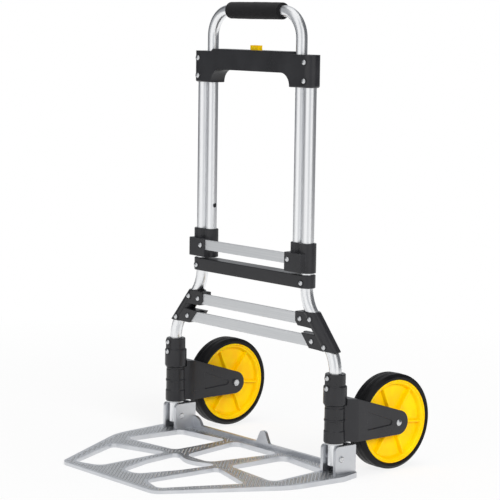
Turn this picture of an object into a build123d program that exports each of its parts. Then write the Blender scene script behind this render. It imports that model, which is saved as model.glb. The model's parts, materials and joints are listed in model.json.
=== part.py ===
"""Folding hand truck: two bent legs, sliding handle, fold-up toe plate and wheels that swing in with it.

Frame: X runs across, the toe plate points to -Y, Z is up, and the origin is under the middle of the
whole object. Millimetres. The right-hand pieces (+X) are drawn and the left-hand ones mirrored.
"""
import os
from math import atan2, cos, radians, sin, tan

from build123d import *

# Tubes
tube_d = 22.0
tube_wall = 2.0
handle_d = 20.0
handle_wall = 1.8
tube_gap = 3.4

# Legs: lower upright, slanted part between two knees, upper upright
leg_x = 224.0
upper_x = 146.0
leg_below_pin = 12.5
knee_low_z = 206.7
knee_high_z = 297.4
knee_bend_r = 65.0
knee_room = 0.1

# Handle and grip
grip_top_z = 814.5
grip_d = 30.0
grip_end_r = 4.0
grip_end_room = 4.6
handle_bend_r = 47.0
lock_hole_d = 8.0

# Top housing
housing_bottom_z = 669.0
housing_height = 56.5
housing_crown = 4.5
housing_side = 5.0
housing_corner_r = 4.0
crown_in = 17.6
crown_edge_r = 3.0
arch_in = 13.6
arch_rise = 24.0
arch_corner_r = 23.0
arch_foot_r = 2.5
housing_wall = 4.0
housing_roof = 7.0
cavity_in = 18.6
cavity_depth = 14.0
pin_height = 38.6
leg_in_housing = 52.0

# Release button and its cam plate
button_w = 21.0
button_d = 10.5
button_corner_r = 4.0
button_edge_r = 2.0
button_proud = 8.5
button_travel = 5.0
flange_t = 3.5
flange_lip = 3.0
flange_room = 1.0
flange_corner_r = 2.0
cam_plate_w = 36.0
cam_plate_t = 4.0

# Lock pins, their dowels and the return spring
lock_pin_d = 7.0
lock_pin_chamfer = 1.0
pin_head_half = 5.0
pin_head_in = 4.0
pin_head_out = 15.0
pin_head_root = 4.0
dowel_d = 3.0
dowel_x = 13.0
spring_d = 5.6
spring_wire = 0.8
spring_turns = 6
spring_roof = 3.2
spring_end_room = 0.1

# Sliders and the bar between them
slider_over_beam = 3.0
slider_height = 52.0
slider_wall = 4.5
slider_inner_wall = 3.5
slider_waist = 1.5
slider_box_in = 9.6
slider_box_out = 9.0
slider_box_low = 2.0
slider_box_h = 33.5
slider_edge_r = 2.5
bar_t = 4.0
slider_bar_h = 18.5
slider_bar_up = 15.0
slider_bar_sunk = 3.5
slider_bar_grip = 15.0

# Lower beam
beam_h = 23.4
beam_side = 4.0
beam_wall = 3.0
beam_edge_r = 1.5
beam_ribs = 5

# Gussets and flat cross bars
gusset_wall = 3.0
gusset_low_z = 219.0
gusset_high_z = 282.0
ear_drop = 1.0
ear_back = 9.0
ear_grip = 18.0
ear_back_extra = 7.0
ear_lip = 2.5
cross_bar_h = 20.0
cross_bar_z = (222.0, 258.0)
cross_bar_sunk = 2.5
cross_bar_in = 5.0
bar_rivet_in = 5.5

# Leg collars, fork hubs and retaining rings
collar_wall = 7.0
collar_wide_wall = 9.5
collar_step = 20.0
collar_flare_h = 2.0
collar_edge = 1.0
collar_foot_h = 3.0
collar_foot_in = 1.5
pad_w = 12.0
pad_proud = 1.5
hub_wall = 6.75
hub_foot_wall = 7.75
hub_h = 65.4
hub_foot_h = 20.4
hub_edge = 1.0
hub_band_up = 37.4
hub_band_h = 4.0
hub_band_out = 0.9
hub_groove_down = 5.0
hub_groove_h = 2.8
hub_groove_in = 0.8
hub_bevel = 0.6
ring_wall = 6.2
ring_t = 2.3
ring_over_clevis = 2.5

# Wheels
wheel_r = 85.0
wheel_gap = 42.4
wheel_out = 2.3
tyre_t = 11.0
tyre_half = 19.0
tread_half = 11.0
tyre_bead = 1.2
tyre_wall_h = 3.5
shoulder_in = 1.8
shoulder_h = 2.6
rim_half = 16.5
rim_band = 11.0
rim_lip = 3.0
key_half = 4.0
key_h = 3.0
axle_d = 8.0
bush_d = 14.0
bush_room = 0.4
bush_proud = 0.6
wheel_hub_r = 17.0
wheel_hub_edge = 2.0
wheel_web_half = 8.0
web_rise = 1.0
wheel_rib_half = 12.0
wheel_rib_w = 4.0
wheel_ribs = 6
wheel_rib_turn = -7.0

# Forks and axles
arm_out = 27.0
arm_t = 4.0
arm_nose_r = 21.5
arm_over_hub = 11.0
arm_over_foot = 1.4
flare_in = 4.0
flare_start_y = 9.0
flare_end_y = 29.0
web_room = 5.4
panel_depth = 2.0
panel_tip_r = 4.5
panel_tip_up = 3.0
panel_root_y = 52.0
panel_root_up = 12.0
panel_root_h = 32.0
panel_root_w = 1.0
bolt_head_d = 12.0
bolt_head_h = 2.7
nut_across = 13.4
nut_h = 4.0

# Toe plate
plate_reach = 322.0
plate_back = 34.0
plate_side = 37.0
plate_t = 9.0
plate_tip_t = 5.5
plate_front_r = 25.0
plate_side_r = 120.0
plate_end_r = 30.0
plate_back_r = 10.0
plate_back_in = 11.0
rim_h = 16.0
rim_w = 6.0
opening_tip_r = 9.0
opening_corner_r = 14.0
opening_bend_r = 20.0
opening_sweep_r = 60.0
lug_h = 22.0
lug_w = 35.0
lug_top_w = 12.0
lug_top_r = 8.0
lug_foot_r = 6.0
web_w = 25.0
web_h = 15.0
web_r = 24.0

# Clevises and the fold linkage
pin_z = 34.5
hinge_pin_d = 8.0
pin_head_d = 11.0
pin_head_h = 2.0
pin_head_flat = 0.4
clevis_room = 2.0
clevis_wall = 6.4
clevis_front = 13.5
clevis_top = 22.5
clevis_corner_r = 7.0
clevis_back_r = 2.0
crank_r = 14.0
crank_pin_d = 5.0
crank_seat = 3.0
notch_room = 0.7
tongue_t = 8.0
tongue_back = 19.5
tongue_room = 0.8
tongue_under = 6.4
rod_over_pin = 25.5
rod_over_cam = 6.0
cam_pin_d = 5.0
cam_pin_down = 13.0
cam_pin_room = 0.6
groove_wall = 4.6
groove_h = 8.4
groove_run_out = 16.0

# Rivets: shank, dome head, tail, and their heights on each piece
rivet_d = 4.0
rivet_head_d = 8.4
rivet_head_h = 2.0
rivet_tail_d = 7.0
rivet_tail_h = 1.2
housing_rivet_up = (11.6, 43.7)
beam_rivet_up = 9.4
collar_rivet_down = (25.0, 7.0)
gusset_rivet_z = (226.0, 270.0)
slider_rivet_up = 23.0

# Clearances: a fixed fit, a running fit, and room between pieces that slide past each other
fit = 0.05
run = 0.05
slide = 0.3
yoke_room = 0.5
fold_room = 3.5
travel_room = 5.0

# Derived: tubes and legs
tube_r = tube_d / 2
bore_r = tube_r - tube_wall
handle_r = handle_d / 2
handle_x = upper_x - tube_r - handle_r - tube_gap
slope = atan2(leg_x - upper_x, knee_high_z - knee_low_z)
knee_tangent = knee_bend_r * tan(slope / 2)
leg_bottom_z = pin_z - leg_below_pin
leg_top_z = housing_bottom_z + leg_in_housing

# Derived: wheels, forks and the pieces stacked on the lower legs
axle_back = wheel_r + wheel_gap
leg_y = (plate_reach - axle_back - wheel_r) / 2
axle_x = leg_x + wheel_out
axle_y = leg_y + axle_back
rim_r = wheel_r - tyre_t
rim_inner_r = rim_r - rim_band
ring_r = tube_r + ring_wall
ring_z = pin_z + clevis_top + ring_over_clevis
hub_r = tube_r + hub_wall
hub_foot_r = tube_r + hub_foot_wall
hub_low_z = ring_z + ring_t + slide
hub_high_z = hub_low_z + hub_h
arm_low_z = hub_low_z + arm_over_foot
arm_high_z = hub_high_z + arm_over_hub
arm_side = arm_out - arm_t
web_end_y = wheel_gap - web_room
collar_r = tube_r + collar_wall
collar_wide_r = tube_r + collar_wide_wall
collar_low_z = hub_high_z + slide
collar_top_z = knee_low_z - knee_tangent - knee_room
collar_step_z = collar_top_z - collar_step
pad_front = collar_r + pad_proud

# Derived: toe plate, clevises and the fold linkage
plate_half = leg_x + plate_side
clevis_gap_half = tube_r + clevis_room
clevis_half = clevis_gap_half + clevis_wall
rim_half_length = leg_x - clevis_half
crank_y = crank_r * cos(radians(45))
crank_z = pin_z + crank_y
rod_stroke = 2 * crank_y
cam_pin_z = hub_high_z - cam_pin_down
rod_low_z = pin_z + rod_over_pin
rod_high_z = cam_pin_z + rod_over_cam
groove_depth_r = tube_r + groove_wall
cam_pin_half = groove_depth_r - cam_pin_room

# Derived: beam, gussets, sliders and handle
beam_depth = tube_d + 2 * beam_side
beam_z = knee_high_z + knee_tangent + knee_room
gusset_r = tube_r + gusset_wall
ear_front = gusset_r - ear_drop
cross_bar_front = ear_front - cross_bar_sunk
cross_bar_end = tube_r + cross_bar_in
ear_reach = cross_bar_end + ear_grip
slider_bottom_z = beam_z + beam_h + slider_over_beam
slider_outer_r = tube_r + slider_wall
slider_inner_r = handle_r + slider_inner_wall
slider_in_x = handle_x - slider_box_in
slider_out_x = upper_x + slider_box_out
slider_box_front = pin_z - plate_tip_t - fold_room
slider_bar_front = slider_box_front - slider_bar_sunk
handle_top_z = grip_top_z - grip_d / 2
handle_low_z = slider_bottom_z + housing_wall
handle_travel = housing_bottom_z - slider_bottom_z - slider_height - travel_room
grip_length = 2 * (handle_x - handle_bend_r - grip_end_room)

# Derived: housing, button and lock
housing_depth = tube_d + 2 * housing_side
housing_end_z = housing_bottom_z + housing_height
housing_top_z = housing_end_z + housing_crown
crown_half = handle_x - crown_in
arch_half = handle_x - arch_in
arch_z = housing_bottom_z + arch_rise
lock_z = housing_bottom_z + pin_height
cavity_half = handle_x - cavity_in
cavity_low_z = arch_z + housing_wall
cavity_high_z = housing_top_z - housing_roof
lock_pin_tip_x = handle_x - handle_r - slide

# Derived: rivets
rivet_hole_r = rivet_d / 2 + fit
housing_rivet_z = [housing_bottom_z + up for up in housing_rivet_up]
collar_rivet_z = [collar_top_z - down for down in collar_rivet_down]
beam_rivet_z = beam_z + beam_rivet_up
slider_rivet_z = slider_bottom_z + slider_rivet_up

leg_plane = Plane((0, leg_y, 0), x_dir=(1, 0, 0), z_dir=(0, -1, 0))


def level(z, x=0.0):
    """Horizontal plane at height z, centred on the legs' plane."""
    return Plane((x, leg_y, z))


def slant_x(z, inward=0.0):
    """X of the slanted tube's axis at height z, moved square to the tube by inward."""
    return leg_x - (z - knee_low_z) * tan(slope) - inward / cos(slope)


def across(x, z, y=leg_y):
    """Place for a cylinder that runs front to back."""
    return Location((x, y, z), (90, 0, 0))


def sideways(x, y, z):
    """Place for a cylinder that runs left to right."""
    return Location((x, y, z), (0, 90, 0))


def save(part, name):
    part.label = name
    export_step(part, f"parts/{name}.step")
    print(f"{name}: {len(part.solids())} solid(s), {part.volume:.0f} mm3")


def save_pair(piece, name):
    save(piece.part, f"{name}_right")
    with BuildPart() as twin:
        mirror(piece.part, about=Plane.YZ)
    save(twin.part, f"{name}_left")


def leg_path():
    with BuildLine(leg_plane) as path:
        FilletPolyline(
            (leg_x, leg_bottom_z),
            (leg_x, knee_low_z),
            (upper_x, knee_high_z),
            (upper_x, leg_top_z),
            radius=knee_bend_r,
        )
    return path.wire()


def drill(stations, front, back):
    """Front-to-back rivet holes at (x, z) stations, front and back from the legs' plane."""
    length = front + back
    middle_y = leg_y + (back - front) / 2
    with Locations(*[across(x, z, middle_y) for x, z in stations]):
        Cylinder(rivet_hole_r, length, mode=Mode.SUBTRACT)


def rivet(x, z, front, back):
    """Dome-headed rivet from front to back of the legs' plane."""
    dome_out, dome_up = dome_point(rivet_head_d / 2, rivet_head_h)
    with BuildSketch(Plane((x, leg_y, z))) as profile:
        with BuildLine():
            ThreePointArc(
                (0, -front - rivet_head_h),
                (dome_out, -front - dome_up),
                (rivet_head_d / 2, -front),
            )
            Polyline(
                (rivet_head_d / 2, -front),
                (rivet_d / 2, -front),
                (rivet_d / 2, back),
                (rivet_tail_d / 2, back),
                (rivet_tail_d / 2, back + rivet_tail_h),
                (0, back + rivet_tail_h),
                (0, -front - rivet_head_h),
            )
        make_face()
    revolve(profile.sketch, axis=Axis((x, leg_y, z), (0, 1, 0)))


def dome_point(radius, height):
    """Point halfway out on a dome: its distance from the axis and its height over the dome's foot."""
    sphere_r = (radius ** 2 + height ** 2) / (2 * height)
    return radius / 2, (sphere_r ** 2 - (radius / 2) ** 2) ** 0.5 - sphere_r + height


def corner(across_share, along_share, radius):
    """Rounded corner on the toe plate, placed by shares of its half width and of its reach."""
    return across_share * plate_half, -along_share * plate_reach, radius


def mirrored(corners):
    """The same corners on the other side of the plate, in reverse order."""
    return [(-x, y, radius) for x, y, radius in reversed(corners)]


def rounded_face(sketch, corners):
    """Closed face in the open sketch, with each corner rounded by its own radius."""
    with BuildLine() as border:
        Polyline(*[(x, y) for x, y, radius in corners], close=True)
    make_face(border.edges())
    for x, y, radius in corners:
        fillet(sketch.vertices().sort_by_distance((x, y))[0], radius)


def both(stations):
    """The stations and their mirror images."""
    return [(side * x, *rest) for side in (-1, 1) for x, *rest in stations]


os.makedirs("parts", exist_ok=True)

# Rivet stations on the right-hand side
housing_stations = [(upper_x, z) for z in housing_rivet_z]
beam_stations = [(upper_x, beam_rivet_z)]
collar_stations = [(leg_x, z) for z in collar_rivet_z]
gusset_stations = [(slant_x(z), z) for z in gusset_rivet_z]
bar_middles = [z + cross_bar_h / 2 for z in cross_bar_z]
bar_stations = [(slant_x(z, cross_bar_end + bar_rivet_in), z) for z in bar_middles]

# Leg tube: swept along its path, then the hinge hole, linkage openings and rivet holes
with BuildPart() as leg_tube:
    with BuildSketch(level(leg_bottom_z, leg_x)):
        Circle(tube_r)
        Circle(bore_r, mode=Mode.SUBTRACT)
    sweep(path=leg_path())
    with Locations(sideways(leg_x, leg_y, pin_z)):
        Cylinder(hinge_pin_d / 2 + run, 2 * tube_d, mode=Mode.SUBTRACT)
    notch_y = crank_y - crank_pin_d / 2 - notch_room
    notch_top = crank_z + tongue_t + 2 * yoke_room
    with Locations((leg_x, leg_y + notch_y, leg_bottom_z)):
        Box(tube_d, tube_d, notch_top - leg_bottom_z, align=(Align.CENTER, Align.MIN, Align.MIN),
            mode=Mode.SUBTRACT)
    slot_middle = (leg_x - tube_d, leg_y, cam_pin_z - rod_stroke / 2)
    with BuildSketch(Plane(slot_middle, x_dir=(0, 0, 1), z_dir=(1, 0, 0))):
        SlotCenterToCenter(rod_stroke, cam_pin_d + 2 * slide)
    extrude(amount=2 * tube_d, mode=Mode.SUBTRACT)
    drill(housing_stations + beam_stations + collar_stations + gusset_stations, tube_d, tube_d)
save_pair(leg_tube, "leg_tube")

# Handle tube: one U, open at the lower ends, with the lock hole on each inner face
with BuildPart() as handle_tube:
    with BuildLine(leg_plane) as handle_path:
        FilletPolyline(
            (-handle_x, handle_low_z),
            (-handle_x, handle_top_z),
            (handle_x, handle_top_z),
            (handle_x, handle_low_z),
            radius=handle_bend_r,
        )
    with BuildSketch(level(handle_low_z, -handle_x)):
        Circle(handle_r)
        Circle(handle_r - handle_wall, mode=Mode.SUBTRACT)
    sweep(path=handle_path.wire())
    with Locations(sideways(0, leg_y, lock_z - handle_travel)):
        Cylinder(lock_hole_d / 2, 2 * handle_x, mode=Mode.SUBTRACT)
    with Locations(*[across(x, slider_rivet_z, leg_y - handle_r) for x in (-handle_x, handle_x)]):
        Cylinder(rivet_hole_r, handle_r, mode=Mode.SUBTRACT)
save(handle_tube.part, "handle_tube")

# Grip: foam sleeve with rounded ends
with BuildPart() as grip:
    with Locations(sideways(0, leg_y, handle_top_z)):
        Cylinder(grip_d / 2, grip_length)
    fillet(grip.edges().filter_by(GeomType.CIRCLE), grip_end_r)
    with Locations(sideways(0, leg_y, handle_top_z)):
        Cylinder(handle_r + fit, grip_length, mode=Mode.SUBTRACT)
save(grip.part, "grip")


def housing_shell(front):
    """One half of the top housing: front faces -Y, rear faces +Y."""
    depth = housing_depth / 2 if front else -housing_depth / 2
    with BuildPart() as shell:
        with BuildSketch(leg_plane) as outline:
            with BuildLine():
                Polyline(
                    (-upper_x - housing_depth / 2, housing_bottom_z),
                    (-upper_x - housing_depth / 2, housing_end_z),
                    (-crown_half - housing_crown, housing_end_z),
                    (-crown_half, housing_top_z),
                    (crown_half, housing_top_z),
                    (crown_half + housing_crown, housing_end_z),
                    (upper_x + housing_depth / 2, housing_end_z),
                    (upper_x + housing_depth / 2, housing_bottom_z),
                    (arch_half, housing_bottom_z),
                    (arch_half, arch_z),
                    (-arch_half, arch_z),
                    (-arch_half, housing_bottom_z),
                    close=True,
                )
            make_face()
            fillet(outline.vertices().filter_by(lambda v: abs(v.Y - arch_z) < fit), arch_corner_r)
            feet = outline.vertices().group_by(Axis.Y)[0].sort_by(Axis.X)
            fillet([feet[0], feet[-1]], housing_corner_r)
            fillet(feet[1:-1], arch_foot_r)
        extrude(amount=depth)
        with BuildSketch(level(housing_bottom_z)):
            SlotCenterToCenter(2 * upper_x, housing_depth)
        extrude(amount=housing_top_z - housing_bottom_z, mode=Mode.INTERSECT)
        outer_edges = shell.faces().sort_by(Axis.Y)[0 if front else -1].edges()
        fillet(outer_edges.filter_by(lambda e: e.center().Z > housing_top_z - fit), crown_edge_r)
        for side in (-1, 1):
            with Locations((side * upper_x, leg_y, housing_bottom_z)):
                Cylinder(tube_r + fit, leg_top_z - housing_bottom_z + slide,
                         align=(Align.CENTER, Align.CENTER, Align.MIN), mode=Mode.SUBTRACT)
            with Locations((side * handle_x, leg_y, (housing_bottom_z + housing_top_z) / 2)):
                Cylinder(handle_r + slide, 2 * housing_height, mode=Mode.SUBTRACT)
        with Locations((0, leg_y, (cavity_low_z + cavity_high_z) / 2)):
            Box(2 * cavity_half, cavity_depth, cavity_high_z - cavity_low_z, mode=Mode.SUBTRACT)
        with Locations((0, leg_y, housing_top_z)):
            Box(button_w + 2 * slide, button_d + 2 * slide, 3 * housing_roof, mode=Mode.SUBTRACT)
        with Locations(sideways(0, leg_y, lock_z)):
            Cylinder(lock_pin_d / 2 + slide, 2 * handle_x, mode=Mode.SUBTRACT)
        drill(both(housing_stations), housing_depth, housing_depth)
    return shell.part


save(housing_shell(front=True), "housing_front")
save(housing_shell(front=False), "housing_rear")

# Release button: a cap with a flange that keeps it under the housing's top wall
flange_top_z = cavity_high_z - slide
flange_low_z = flange_top_z - flange_t
with BuildPart() as release_button:
    with BuildSketch(level(flange_low_z)):
        RectangleRounded(button_w + 2 * flange_lip, cavity_depth - 2 * flange_room, flange_corner_r)
    extrude(amount=flange_t)
    with BuildSketch(level(flange_top_z)):
        RectangleRounded(button_w, button_d, button_corner_r)
    extrude(amount=housing_top_z + button_proud - flange_top_z)
    fillet(release_button.faces().sort_by(Axis.Z)[-1].edges(), button_edge_r)
save(release_button.part, "release_button")

# Cam plate under the button: two slots at 45 degrees draw the lock pins inward as it goes down
cam_low_z = cavity_low_z + button_travel + yoke_room
spring_top_z = flange_low_z - spring_roof
with BuildPart() as cam_plate:
    with BuildSketch(leg_plane):
        with Locations((0, (cam_low_z + flange_low_z) / 2)):
            Rectangle(cam_plate_w, flange_low_z - cam_low_z)
        with Locations((0, cam_low_z)):
            Rectangle(spring_d + 2 * yoke_room, 2 * (spring_top_z - cam_low_z), mode=Mode.SUBTRACT)
        for side in (-1, 1):
            with Locations((side * (dowel_x - button_travel / 2), lock_z + button_travel / 2)):
                SlotCenterToCenter(button_travel / cos(radians(45)), dowel_d + 2 * slide,
                                   rotation=side * 135, mode=Mode.SUBTRACT)
    extrude(amount=cam_plate_t / 2, both=True)
save(cam_plate.part, "cam_plate")

# Return spring between the housing's floor and the cam plate
spring_low_z = cavity_low_z + spring_end_room
coil_height = spring_top_z - spring_end_room - spring_low_z - spring_wire
with BuildPart() as button_spring:
    with BuildLine() as coil:
        Helix(pitch=coil_height / spring_turns, height=coil_height, radius=(spring_d - spring_wire) / 2,
              center=(0, leg_y, spring_low_z + spring_wire / 2))
    with BuildSketch(Plane(coil.line @ 0, z_dir=coil.line % 0)):
        Circle(spring_wire / 2)
    sweep(path=coil.wire(), is_frenet=True)
save(button_spring.part, "button_spring")

# Lock pin: round bolt with a forked head over the cam plate
head_in = dowel_x - pin_head_in
head_out = dowel_x + pin_head_out
with BuildPart() as lock_pin:
    with Locations(sideways((head_out + lock_pin_tip_x) / 2, leg_y, lock_z)):
        Cylinder(lock_pin_d / 2, lock_pin_tip_x - head_out)
    chamfer(lock_pin.edges().filter_by(GeomType.CIRCLE).sort_by(Axis.X)[-1], lock_pin_chamfer)
    with Locations(((head_in + head_out) / 2, leg_y, lock_z)):
        Box(head_out - head_in, 2 * pin_head_half, 2 * pin_head_half)
    with Locations((head_in, leg_y, lock_z)):
        Box(2 * (head_out - head_in - pin_head_root), cam_plate_t + 2 * slide, 4 * pin_head_half,
            mode=Mode.SUBTRACT)
    with Locations(across(dowel_x, lock_z)):
        Cylinder(dowel_d / 2 + fit, 4 * pin_head_half, mode=Mode.SUBTRACT)
save_pair(lock_pin, "lock_pin")

with BuildPart() as lock_dowel:
    with Locations(across(dowel_x, lock_z)):
        Cylinder(dowel_d / 2, 2 * pin_head_half)
save_pair(lock_dowel, "lock_dowel")

# Slider: twin collar on the two tubes with a box in front that takes the bar's end
bar_end_x = slider_in_x + slider_bar_grip
bar_mid_y = leg_y - slider_bar_front + bar_t / 2
bar_mid_z = slider_bottom_z + slider_bar_up + slider_bar_h / 2
slider_stations = [(handle_x, slider_rivet_z)]
with BuildPart() as slider:
    with BuildSketch(level(slider_bottom_z)):
        with Locations((upper_x, 0)):
            Circle(slider_outer_r)
        with Locations((handle_x, 0)):
            Circle(slider_inner_r)
        with Locations(((upper_x + handle_x) / 2, 0)):
            Rectangle(upper_x - handle_x, 2 * (slider_inner_r - slider_waist))
    extrude(amount=slider_height)
    with BuildSketch(level(slider_bottom_z + slider_box_low)):
        with Locations(((slider_in_x + slider_out_x) / 2, -slider_box_front / 2)):
            Rectangle(slider_out_x - slider_in_x, slider_box_front)
    extrude(amount=slider_box_h)
    fillet(slider.edges().filter_by(Axis.Z).group_by(Axis.Y)[0], slider_edge_r)
    with Locations((upper_x, leg_y, slider_bottom_z)):
        Cylinder(tube_r + slide, 3 * slider_height, mode=Mode.SUBTRACT)
    with Locations((handle_x, leg_y, handle_low_z)):
        Cylinder(handle_r + fit, slider_height, align=(Align.CENTER, Align.CENTER, Align.MIN),
                 mode=Mode.SUBTRACT)
    with Locations((bar_end_x + fit, bar_mid_y, bar_mid_z)):
        Box(2 * slider_bar_grip, bar_t + 2 * fit, slider_bar_h + 2 * fit,
            align=(Align.MAX, Align.CENTER, Align.CENTER), mode=Mode.SUBTRACT)
    drill(slider_stations, slider_box_front + rivet_head_h, -handle_r / 2)
save_pair(slider, "slider")

with BuildPart() as slider_bar:
    with Locations((0, bar_mid_y, bar_mid_z)):
        Box(2 * bar_end_x, bar_t, slider_bar_h)
    drill(both(slider_stations), slider_bar_front + bar_t, 2 * bar_t - slider_bar_front)
save(slider_bar.part, "slider_bar")

# Lower beam: moulded with end collars, open and ribbed at the back
pocket_half = upper_x - tube_r - 2 * beam_wall
with BuildPart() as lower_beam:
    with BuildSketch(level(beam_z)):
        SlotCenterToCenter(2 * upper_x, beam_depth)
    extrude(amount=beam_h)
    beam_ends = lower_beam.faces().sort_by(Axis.Z)
    fillet(beam_ends[0].edges() + beam_ends[-1].edges(), beam_edge_r)
    rib_y = leg_y - beam_depth / 2 + beam_wall
    with Locations((0, rib_y, beam_z + beam_h / 2)):
        Box(2 * pocket_half, beam_depth, beam_h - 2 * beam_wall,
            align=(Align.CENTER, Align.MIN, Align.CENTER), mode=Mode.SUBTRACT)
    with Locations((0, rib_y, beam_z + beam_h / 2)):
        with GridLocations(2 * pocket_half / (beam_ribs + 1), 1, beam_ribs, 1):
            Box(beam_wall, beam_depth - 2 * beam_wall, beam_h - 2 * beam_wall,
                align=(Align.CENTER, Align.MIN, Align.CENTER))
    with Locations((-upper_x, leg_y, beam_z), (upper_x, leg_y, beam_z)):
        Cylinder(tube_r + fit, 3 * beam_h, mode=Mode.SUBTRACT)
    drill(both(beam_stations), beam_depth, beam_depth)
save(lower_beam.part, "lower_beam")


def bar_end(z, reach, end):
    """Corners of a strip of a cross bar's height that ends parallel to the slanted tube."""
    top = z + cross_bar_h
    return [
        (slant_x(z, end), z),
        (slant_x(z, reach), z),
        (slant_x(top, reach), top),
        (slant_x(top, end), top),
    ]


def gusset_half(front):
    """Half sleeve on the slanted tube, with two ears for the cross bars."""
    mid_z = (gusset_low_z + gusset_high_z) / 2
    reach = ear_reach if front else ear_reach + ear_back_extra
    with BuildPart() as half:
        along_slant = (-sin(slope), 0, cos(slope))
        with BuildSketch(Plane((slant_x(mid_z), leg_y, mid_z), x_dir=(0, 1, 0), z_dir=along_slant)):
            Circle(gusset_r)
        extrude(amount=gusset_high_z - gusset_low_z, both=True)
        for z in cross_bar_z:
            low, high = z - ear_lip, z + cross_bar_h + ear_lip
            with BuildSketch(leg_plane):
                with BuildLine():
                    Polyline((slant_x(low), low), (slant_x(low, reach), low), (slant_x(high, reach), high),
                             (slant_x(high), high), close=True)
                make_face()
            extrude(amount=ear_front if front else -ear_back)
        with BuildSketch(leg_plane):
            with Locations((slant_x(mid_z), mid_z)):
                Rectangle(8 * gusset_r, gusset_high_z - gusset_low_z)
        extrude(amount=2 * gusset_r if front else -2 * gusset_r, mode=Mode.INTERSECT)
        with BuildSketch(level(leg_bottom_z, leg_x)):
            Circle(tube_r + fit)
        sweep(path=leg_path(), mode=Mode.SUBTRACT)
        if front:
            for z in cross_bar_z:
                with BuildSketch(leg_plane.offset(cross_bar_front - bar_t - fit)):
                    with BuildLine():
                        Polyline(*bar_end(z, 2 * ear_reach, cross_bar_end), close=True)
                    make_face()
                extrude(amount=bar_t + 2 * fit, mode=Mode.SUBTRACT)
        drill(gusset_stations + bar_stations, 2 * gusset_r, 2 * gusset_r)
    return half


save_pair(gusset_half(front=True), "gusset_front")
save_pair(gusset_half(front=False), "gusset_rear")

# Flat cross bars with slanted ends
for name, z, station in zip(("lower_cross_bar", "upper_cross_bar"), cross_bar_z, bar_stations):
    top = z + cross_bar_h
    with BuildPart() as cross_bar:
        with BuildSketch(leg_plane.offset(cross_bar_front - bar_t)):
            with BuildLine():
                Polyline((-slant_x(z, cross_bar_end), z), (slant_x(z, cross_bar_end), z),
                         (slant_x(top, cross_bar_end), top), (-slant_x(top, cross_bar_end), top), close=True)
            make_face()
        extrude(amount=bar_t)
        drill(both([station]), 2 * cross_bar_front, cross_bar_front)
    save(cross_bar.part, name)

# Leg collar: fixed sleeve above the fork, with a flat pad for its upper rivet
with BuildPart() as leg_collar:
    with BuildSketch(Plane((leg_x, leg_y, 0), x_dir=(1, 0, 0), z_dir=(0, -1, 0))):
        with BuildLine():
            Polyline(
                (0, collar_low_z),
                (collar_wide_r - collar_foot_in, collar_low_z),
                (collar_wide_r, collar_low_z + collar_foot_h),
                (collar_wide_r, collar_step_z - collar_flare_h),
                (collar_r, collar_step_z),
                (collar_r, collar_top_z - collar_edge),
                (collar_r - collar_edge, collar_top_z),
                (0, collar_top_z),
                close=True,
            )
        make_face()
    revolve(axis=Axis((leg_x, leg_y, 0), (0, 0, 1)))
    with Locations((leg_x, leg_y - pad_front, collar_step_z - collar_flare_h)):
        Box(pad_w, pad_front, collar_step + collar_flare_h - collar_edge,
            align=(Align.CENTER, Align.MIN, Align.MIN))
    with Locations((leg_x, leg_y, collar_step_z)):
        Cylinder(tube_r + fit, 2 * collar_top_z, mode=Mode.SUBTRACT)
    drill(collar_stations, 2 * collar_r, 2 * collar_r)
save_pair(leg_collar, "leg_collar")

# Retaining rings under the forks
with BuildPart() as retaining_rings:
    with BuildSketch(level(ring_z)):
        with Locations((-leg_x, 0), (leg_x, 0)):
            Circle(ring_r)
            Circle(tube_r + fit, mode=Mode.SUBTRACT)
    extrude(amount=ring_t)
save(retaining_rings.part, "retaining_rings")

# Rivets, one node for each kind
with BuildPart() as housing_rivets:
    for x, z in both(housing_stations):
        rivet(x, z, housing_depth / 2, housing_depth / 2)
save(housing_rivets.part, "housing_rivets")

with BuildPart() as beam_rivets:
    for x, z in both(beam_stations):
        rivet(x, z, beam_depth / 2, beam_depth / 2)
save(beam_rivets.part, "beam_rivets")

with BuildPart() as gusset_rivets:
    for x, z in both(gusset_stations):
        rivet(x, z, gusset_r, gusset_r)
    for x, z in both(bar_stations):
        rivet(x, z, ear_front, ear_back)
save(gusset_rivets.part, "gusset_rivets")

with BuildPart() as collar_rivets:
    for x, z, front, back in both([(leg_x, collar_rivet_z[0], collar_wide_r, collar_wide_r),
                                   (leg_x, collar_rivet_z[1], pad_front, collar_r)]):
        rivet(x, z, front, back)
save(collar_rivets.part, "collar_rivets")

# The slider rivets end inside the handle tube, on its front wall
tail_seat = ((handle_r - handle_wall) ** 2 - (rivet_tail_d / 2) ** 2) ** 0.5
with BuildPart() as slider_rivets:
    for x, z in both(slider_stations):
        rivet(x, z, slider_box_front, fit - tail_seat)
save(slider_rivets.part, "slider_rivets")


def cam_groove():
    """Spiral band that the cam pin follows: a quarter turn for one rod stroke, with run-out at each end."""
    turn = 90.0 + 2 * groove_run_out
    inner_r = tube_r - yoke_room
    mid_r = (inner_r + groove_depth_r) / 2
    with BuildPart() as groove:
        with BuildLine() as spiral:
            Helix(pitch=4 * rod_stroke, height=rod_stroke * turn / 90.0, radius=mid_r)
        with BuildSketch(Plane((mid_r, 0, 0), x_dir=(1, 0, 0), z_dir=(0, 1, 0))):
            Rectangle(groove_depth_r - inner_r, groove_h)
        sweep(path=spiral.wire(), is_frenet=True)
    return groove.part


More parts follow.
